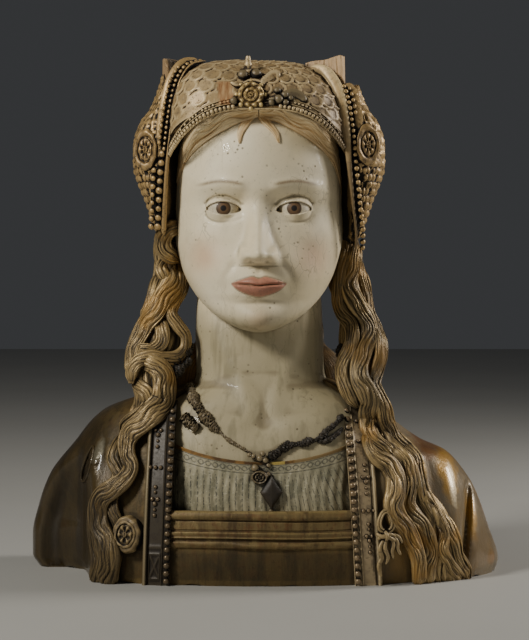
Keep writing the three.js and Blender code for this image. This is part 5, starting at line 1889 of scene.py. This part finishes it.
def dressMaterial(name):
    # brown glaze over gilding: darker glaze and painted shade towards the viewer's left, worn grey and yellow
    # on the right sleeve
    look = dict(zip(lookNames, looks[name]))
    material, tree, shader = newMaterial(name, look["metallic"])
    worn = wornLeaf(tree, look)
    worn.inputs["Mottle"].default_value = rgb(*look["ground"])
    where = objectPlace(tree)
    x, _, z = axes(tree, where)
    streaks = stretched(tree, where, (1.0, 1.0, 0.35))
    patches = noise(tree, streaks, 26, 5, 0.6)
    ragged = noise(tree, where, 110, 5, 0.65)
    side = ramped(tree, x, 0.06, 0.14)
    tone = laid(tree, worn.outputs["Color"], (116, 100, 72), side, 0.8)
    brushed = noise(tree, stretched(tree, where, (1.0, 1.0, 0.12), (0, 0.25, 0)), 130, 5, 0.65)
    tone = laid(tree, tone, look["dirt"], ramped(tree, brushed, 0.5, 0.64), 0.5)
    grey = times(tree, ramped(tree, noise(tree, streaks, 17, 4), 0.44, 0.6), side)
    tone = laid(tree, tone, (140, 124, 98), grey, 0.6)
    yellowShare = plus(tree, times(tree, side, 0.5), 0.14)
    tone = laid(tree, tone, (150, 114, 48), ramped(tree, patches, 0.52, 0.62), yellowShare)
    for strength, colour, middle, reach, lean in patchesAndHighlights:
        tone = laid(tree, tone, colour, patchAt(tree, x, z, middle, reach, ragged, lean), strength)
    tone = laid(tree, tone, look["rubbed"], ramped(tree, brushed, 0.46, 0.34), 0.35)
    out = maths(tree, "ABSOLUTE", x)
    # darker glaze and painted shade towards the viewer's left, and a darker lower panel inside the neckline
    panel = times(tree, ramped(tree, z, 0.03, 0.025), ramped(tree, out, 0.078, 0.072))
    dark = larger(tree, times(tree, ramped(tree, x, -0.07, -0.14), 0.78), times(tree, panel, 0.55))
    tone = blend(tree, dark, tone, (36, 28, 12))
    sleeves = ramped(tree, out, 0.115, 0.13)
    tree.links.new(times(tree, sleeves, 0.3), shader.inputs["Coat Weight"])
    rough = minus(tree, look["rough"], times(tree, sleeves, 0.2))
    rough = plus(tree, worn.outputs["Roughness"], rough, True)
    paintOn(tree, shader, tone, rough, plus(tree, worn.outputs["Height"], brushed), 0.6, 0.0008)
    return material


def bareWoodMaterial():
    # sawn oak, with painted light making the right horn paler and painted shade on the front of the left one
    material, tree, shader = newMaterial("bareOak")
    where = objectPlace(tree)
    grain = noise(tree, stretched(tree, where, (1.0, 0.5, 0.07)), 620, 4, 0.6)
    broad = noise(tree, where, 60, 3)
    wood = blend(tree, ramped(tree, grain, 0.35, 0.68), (196, 166, 122), (136, 104, 68))
    wood = laid(tree, wood, (140, 112, 80), ramped(tree, broad, 0.45, 0.7), 0.6)
    # painted light: the right horn paler
    wood = laid(tree, wood, (232, 196, 150), ramped(tree, axes(tree, where)["X"], -0.01, 0.01), 0.45)
    # painted shade on the front of the left horn
    wood = laid(tree, wood, (54, 46, 34), marked(tree, "shadedFront"), 0.92)
    # painted shade where other parts lie close in front
    wood = laid(tree, wood, (48, 36, 22), ramped(tree, marked(tree, "occlusionShade"), 0.5, 1.0), 0.7)
    paintOn(tree, shader, wood, plus(tree, times(tree, grain, 0.3), 0.5), grain, 0.6, 0.0006)
    return material


flesh = fleshMaterial()
hairGold = gildedMaterial("hairGilding", combedHair)
# a darker, shaded copy of the hair gilding: painted shade on the hair at the back and the nape
backGold = gildedMaterial("shadedHairGilding", combedHair)
browGold = gildedMaterial("browGilding", combedHair)
capGold = gildedMaterial("capGilding", bareOnCap)
jewelGold = gildedMaterial("jewelGilding")
rimGold = gildedMaterial("rimGilding")
caulGold = gildedMaterial("caulGilding")
bandGold = gildedMaterial("bandGilding", rubbedEdges)
beadGold = gildedMaterial("beadGilding")
bowGold = gildedMaterial("bowGilding")
darkJewel = gildedMaterial("darkJewels")
blackened = gildedMaterial("blackened")
dressGlaze = dressMaterial("dressGlaze")
railGlaze = dressMaterial("railGlaze")
chemisePaint = chemiseMaterial()
bareOak = bareWoodMaterial()
print("materials ready")

# Build: the head, the neck, the dress and the chemise
def markFace(piece):
    # where the lips, eyes, brows, blush and lid lines are painted
    spots = pointsOf(piece) * 1000 - shift
    x, z = spots[:, 0] - headX, spots[:, 2]
    a, inFront = np.abs(x), spots[:, 1] < -20
    attribute(piece, "lips", mouthShape(x, z)[1] * inFront)
    attribute(piece, "eyes", eyeOpening(x, z) * inFront)
    attribute(piece, "brows", gauss((z - browLine(a)) / 1.4) * ease(9, 17, a) * ease(53, 40, a) * inFront)
    chin = 0.5 * gauss(x / 9) * gauss((z - 211) / 8)
    attribute(piece, "blush", gauss((a - 43) / 13) * gauss((z - 261) / 14) + chin)
    lidLine = gauss((z - lidLines(a)[0] - 0.1) / 0.45) * (np.abs(a - eyes["apart"]) < eyes["halfWidth"])
    attribute(piece, "lidLine", lidLine * inFront)


def slitLoop():
    # the loop worked round the slit on the left sleeve
    turn = np.linspace(0, fullTurn, 60)
    z = 91 - 15.5 * np.cos(turn)
    up = (z - 76) / 30
    x = mixed(-149.5, -140, up) + 4.4 * np.sin(turn) * mixed(1, 0.6, up)
    return tubeAlong("dress", np.stack([x, sleeveFront(x, z) - 0.4, z], axis=1), 1.1, 10, 1.2)


face = wrap("face", *grids["face"], headForm)
markFace(face)
finish(face, flesh)
finish(wrap("neck", *grids["neck"], chestForm), flesh)
dress = wrap("dress", *grids["dress"], dressForm)
finish(joined("dress", [dress, slitLoop()]), dressGlaze)
shirt = wrap("chemise", *grids["chemise"], chemiseForm, angle=70)
onFront, level = frontAndBack(attribute(shirt, "around"), chemise["front"])
attribute(shirt, "level", np.where(onFront, level, 0.5))
finish(shirt, chemisePaint)
finish(wrap("rails", *grids["rails"], railsForm, angle=40), railGlaze)

# Bands with their beads
smallBead = bead(1.0, 0.9, 12, 7)
bandParts, beadSpots = [], []
for side in (-1, 1):
    part = wrap("bands", *grids["band"], bandForm(side), angle=40)
    inner, frontEnd, _ = bands["section"]
    across = (attribute(part, "around") - inner) / (frontEnd - inner)
    attribute(part, "edge", gauss((across - 0.93) / 0.06) * (1 if side > 0 else 0.6))
    bandParts.append(part)
    beadSpots += bandMarks(side)
finish(joined("bands", bandParts), bandGold)
finish(joined("bandBeads", copies(smallBead, beadSpots)), beadGold)
print("dress and bands dressed")

# Hair
for side in (-1, 1):
    finish(sideHair(side), hairGold)
gathered = wrap("hairBack", *grids["hairBack"], backHairForm)
markStrands(gathered, 330, eyeLine)
finish(gathered, backGold)
finish(combed("hairNape", *grids["hairNape"], napeForm, 9), backGold)
browParts = [combed("browHair", *grids["browHair"], browForm(side), 60 + side) for side in (-1, 1)]
browParts += [combed("browHair", *grids["foreLock"], foreLockForm(side), 70 + side) for side in (-1, 1)]
finish(joined("browHair", browParts), browGold)
print("hair dressed")


# Cap with its border
def borderLine(rise, proud):
    across = (cap["halfWidth"] - 2.4) * np.sin(math.pi / 2 * np.linspace(-1, 1, 240))
    z = borderHeight(across) + rise
    return np.stack([across + headX, np.minimum(-capForward(across, z) - proud, 4), z], axis=1)


def borderBeads():
    spots = []
    for rise, proud, radius, pitch, kept in capBorder["beads"]:
        for p in spaced(borderLine(rise, proud), pitch, 1):
            low, high = capBorder["jewelGap"]
            if chance.random() < kept and not low < p[0] - headX < high:
                facing = (p[0] - headX, min(p[1], -30), 0)
                spots.append((p, radius * chance.uniform(0.85, 1.1), facing))
    return copies(smallBead, spots)


dome = wrap("cap", *grids["cap"], capForm)
emboss(dome, scaleRelief)
capParts = [dome]
for rise, radius in capBorder["rails"]:
    capParts.append(tubeAlong("capRail", borderLine(rise, 0.4), radius, 10, 1.6))
capPiece = joined("cap", capParts + borderBeads())
attribute(capPiece, "bare", barePatch(pointsOf(capPiece) * 1000 - shift))
finish(capPiece, capGold)


# Cauls
def caulPieces(side):
    # the rim is a piece of its own, and the strip, strings and medallion are joined to the shell
    hand = "Left" if side < 0 else "Right"
    name = "caul" + hand
    shell = wrap(name, *grids["caul"], caulForm(side))
    emboss(shell, netRelief(side))
    rim = trimLine(side)
    above = rim[:, 2] > caulTrim["rimFoot"][side]
    edge = tubeAlong("caulRim" + hand, rim[above], flatRadius(caulTrim["rimWidth"][side], 1.8), 20, 1.8)
    out, back, wide, low, high = caulTrim["strip"][side]
    strip = (rim + [side * out, back, 0])[(rim[:, 2] > low) & (rim[:, 2] < high)]
    stripWidths = [(0, 0.6 * wide), (0.2, wide), (1, wide)]
    parts = [shell, tubeAlong(name, strip, flatRadius(stripWidths, 2.2), 20, 1.6)]
    for out, back, low, high, pitch, radius in caulTrim["strings"][side]:
        line = rim + [side * out, back, 0]
        line = line[(line[:, 2] > low) & (line[:, 2] < high)]
        facing = (side * 0.4, -1, 0)
        spots = [(p, radius * chance.uniform(0.88, 1.1), facing) for p in spaced(line, pitch, 1.5)]
        parts += copies(smallBead, spots)
    x, y, z = caulTrim["medallion"][side]
    at, facing = (x + headX, y, z), (side * 0.55, -1, 0.03)
    parts.append(boss(name, at, facing, *caulTrim["medallionSize"], flowerProfile, 8, 0.5, 0.3))
    finish(edge, caulGold if side < 0 else rimGold)
    finish(joined(name, parts), caulGold)


for side in (-1, 1):
    caulPieces(side)
for side in (-1, 1):
    finish(horn(side), bareOak)
print("cap and cauls dressed")


# Jewels on the cap
def browJewelParts():
    across, z, wide, high = capJewels["rosette"]
    spots = []
    for a in np.linspace(0, fullTurn, 9)[:-1]:
        at = onCap(across + wide * 0.53 * math.sin(a), z + high * 0.53 * math.cos(a), 2.2)
        spots.append((at, 2.0, (0, -1, 0)))
    middle = boss("browJewel", onCap(across, z, 3.5), (0, -1, 0.12), wide, high, flowerProfile, 10, 0.7, 0.84)
    return [middle] + copies(smallBead, spots)


def capLeaf(name, places, widths):
    line = swungLine([onCap(a, b, 1.2) for a, b in places], 40)
    return tubeAlong(name, line, flatRadius(widths, 2.4), 20)


def finialRadius(along, around):
    return 3.1 * np.sin(math.pi * np.clip(along, 0.12, 0.94)) ** 0.35 * (0.9 + 0.12 * np.cos(20 * along))


def finial():
    across, foot, *heights = capJewels["finial"]
    x, y, _ = onCap(across, heights[0], 4)
    return tubeAlong("capLeaves", [onCap(across, foot, 2)] + [(x, y, z) for z in heights], finialRadius, 18)


finish(joined("browJewel", browJewelParts()), jewelGold)
leafParts = [capLeaf("capLeaves", places, widths) for places, widths in capJewels["leaves"]]
finish(joined("capLeaves", leafParts + [finial()]), capGold)
pearl = bead(1.0, 1.0, 24, 14)
pearls = copies(pearl, [(onCap(a, b, r * 0.6), r, (0, -1, 0)) for a, b, r in capJewels["pearls"]])
pearls.append(capLeaf("capPearls", *capJewels["scroll"]))
finish(joined("capPearls", pearls), darkJewel)


# Necklace, pendant, brooch and bow
def crustyCord(name, line, thick, seed, columns, step):
    return tubeAlong(name, line, cordRadius(lengthsAlong(line)[-1], thick, seed), columns, step)


def crustyCords(name, lines):
    return [
        crustyCord(name, restingOnChest(points, 0.5 * thick), thick, 1.7 * i, 28, 0.5)
        for i, (points, thick) in enumerate(lines)
    ]


def onChest(across, z, proud):
    return (across, -float(chestForward(across, z)) - proud, z)


def pendantParts():
    plate = boss("pendant", onChest(*pendant["plate"], 5.5), (-0.1, -1, 0), 14, 11, flowerProfile, 6, 0.5)
    return [plate] + copies(smallBead, [(onChest(x, z, 4.5), r, (0, -1, 0)) for x, z, r in pendant["beads"]])


def brooch():
    x, z = rosette["across"], rosette["height"]
    at = (x, -float(dressForward(x, z)) - rosette["proud"], z)
    size = rosette["width"], rosette["length"]
    return boss("rosetteBrooch", at, (-0.35, -1, 0.1), *size, buttonProfile, 6, 1.0, 0.36)


finish(joined("necklace", crustyCords("necklace", necklace["lines"])), darkJewel)
remains = crustyCords("necklaceRemains", necklace["remains"])
# the ribbons beside the neck, near black as painted shade
for points in necklace["shadedRibbons"]:
    remains.append(crustyCord("necklaceRemains", swungLine(points, 50), 4.2, points[0][0], 32, 0.7))
finish(joined("necklaceRemains", remains), blackened)
at, stoneShape = onChest(*pendant["stone"], 6), (*pendant["stoneSize"], pendant["stoneProfile"])
stone = boss("pendantStone", at, (0.1, -1, 0), *stoneShape, lozenge=True)
finish(stone, blackened)
finish(joined("pendant", pendantParts()), darkJewel)
finish(brooch(), bowGold)
finish(joined("bow", bowParts()), bowGold)
discard(smallBead)
discard(pearl)
print("jewels dressed")


# Wear and shade marks: how far each spot stands out of its surroundings, and how much lies close in front of
# it, which is painted as shade
def markRidges(piece):
    edges = np.empty(len(piece.data.edges) * 2, np.int32)
    piece.data.edges.foreach_get("vertices", edges)
    a, b = edges.reshape(-1, 2).T
    points = pointsOf(piece) * 1000
    count = np.maximum(np.bincount(a, minlength=len(points)) + np.bincount(b, minlength=len(points)), 1)
    soft = points.copy()
    out = normalsOf(piece)
    stands = []
    for passes in range(1, 13):
        around = np.stack([
            np.bincount(a, soft[b, k], len(points)) + np.bincount(b, soft[a, k], len(points))
            for k in range(3)
        ], axis=1)
        soft = (soft + around / count[:, None]) / 2
        if passes in (3, 12):
            stands.append(((points - soft) * out).sum(axis=1))
    attribute(piece, "ridge", 0.5 + np.clip(1.3 * stands[0] + 0.45 * stands[1], -0.5, 0.5))


def markOcclusionShade(pieces, cell=2.0):
    everything = np.concatenate([pointsOf(piece) * 1000 for piece in pieces])
    low = everything.min(axis=0) - 24
    size = ((everything.max(axis=0) + 24 - low) / cell).astype(int) + 1
    filled = np.zeros(size, np.float32)
    filled[tuple(((everything - low) / cell).astype(int).T)] = 1

    def spread(grid, radius):
        for axis in range(3):
            grid = sum(np.roll(grid, k, axis) for k in range(-radius, radius + 1)) / (2 * radius + 1)
        return grid

    near, far = spread(filled, 1), spread(filled, 3)
    for piece in pieces:
        points, out = pointsOf(piece) * 1000, normalsOf(piece)
        at = [tuple(((points + out * reach - low) / cell).astype(int).T) for reach in (4.2, 9.5)]
        # painted shade: the more lies close in front of a spot, the darker it is painted
        attribute(piece, "occlusionShade", np.clip(1.5 * near[at[0]] + 2.6 * far[at[1]], 0, 1.2))


for piece in finished:
    markRidges(piece)
markOcclusionShade(finished)
print("wear marked on", len(finished), "pieces,", sum(len(p.data.polygons) for p in finished), "faces in all")

# Camera level with the chin, looking very slightly down
camera = {"distance": 1.6, "height": 0.25, "focal": 1928.0, "horizon": 270.0}
cameraData = bpy.data.cameras.new("camera")
cameraObject = bpy.data.objects.new("camera", cameraData)
bpy.context.scene.collection.objects.link(cameraObject)
cameraData.lens = camera["focal"] / 640 * 36
tilt = math.atan((320 - camera["horizon"]) / camera["focal"])
cameraObject.location = (shift[0] / 1000, -camera["distance"] + shift[1] / 1000, camera["height"])
cameraObject.rotation_euler = (math.pi / 2 - tilt, 0, 0)
bpy.context.scene.camera = cameraObject

# Floor and soft studio light
onlySelect()
bpy.ops.mesh.primitive_plane_add(size=9)
floor = bpy.context.object
floor.name = "floor"
floorMaterial, floorTree, floorShader = newMaterial("paleFloor")
clouds = noise(floorTree, objectPlace(floorTree), 3, 3)
floorTone = blend(floorTree, clouds, (168, 167, 162), (178, 177, 172))
floorTree.links.new(floorTone, floorShader.inputs["Base Color"])
floorShader.inputs["Roughness"].default_value = 0.6
floor.data.materials.append(floorMaterial)


# place, what it is aimed at, size, power and colour
lights = {
    "key": ((-1.34, -1.1, 1.28), (0, 0, 0.3), 0.45, 32.5, (1, 0.965, 0.89)),
    "rim": ((1.35, 0.3, 0.8), (0, 0, 0.2), 0.5, 17, (1, 0.95, 0.88)),
    "fill": ((1.0, -1.5, 0.6), (0, 0, 0.2), 1.2, 1.2, (1, 0.98, 0.96)),
}


def areaLight(name, at, aim, size, power, colour):
    data = bpy.data.lights.new(name, "AREA")
    data.shape, data.size, data.energy, data.color = "DISK", size, power, colour
    light = bpy.data.objects.new(name, data)
    bpy.context.scene.collection.objects.link(light)
    light.location = at
    light.rotation_euler = (Vector(aim) - Vector(at)).to_track_quat("-Z", "Y").to_euler()


for name, values in lights.items():
    areaLight(name, *values)
world = bpy.data.worlds.new("studio")
bpy.context.scene.world = world
world.use_nodes = True
sky = world.node_tree.nodes["Background"]
sky.inputs["Color"].default_value = (0.5, 0.52, 0.55, 1)
sky.inputs["Strength"].default_value = 0.08
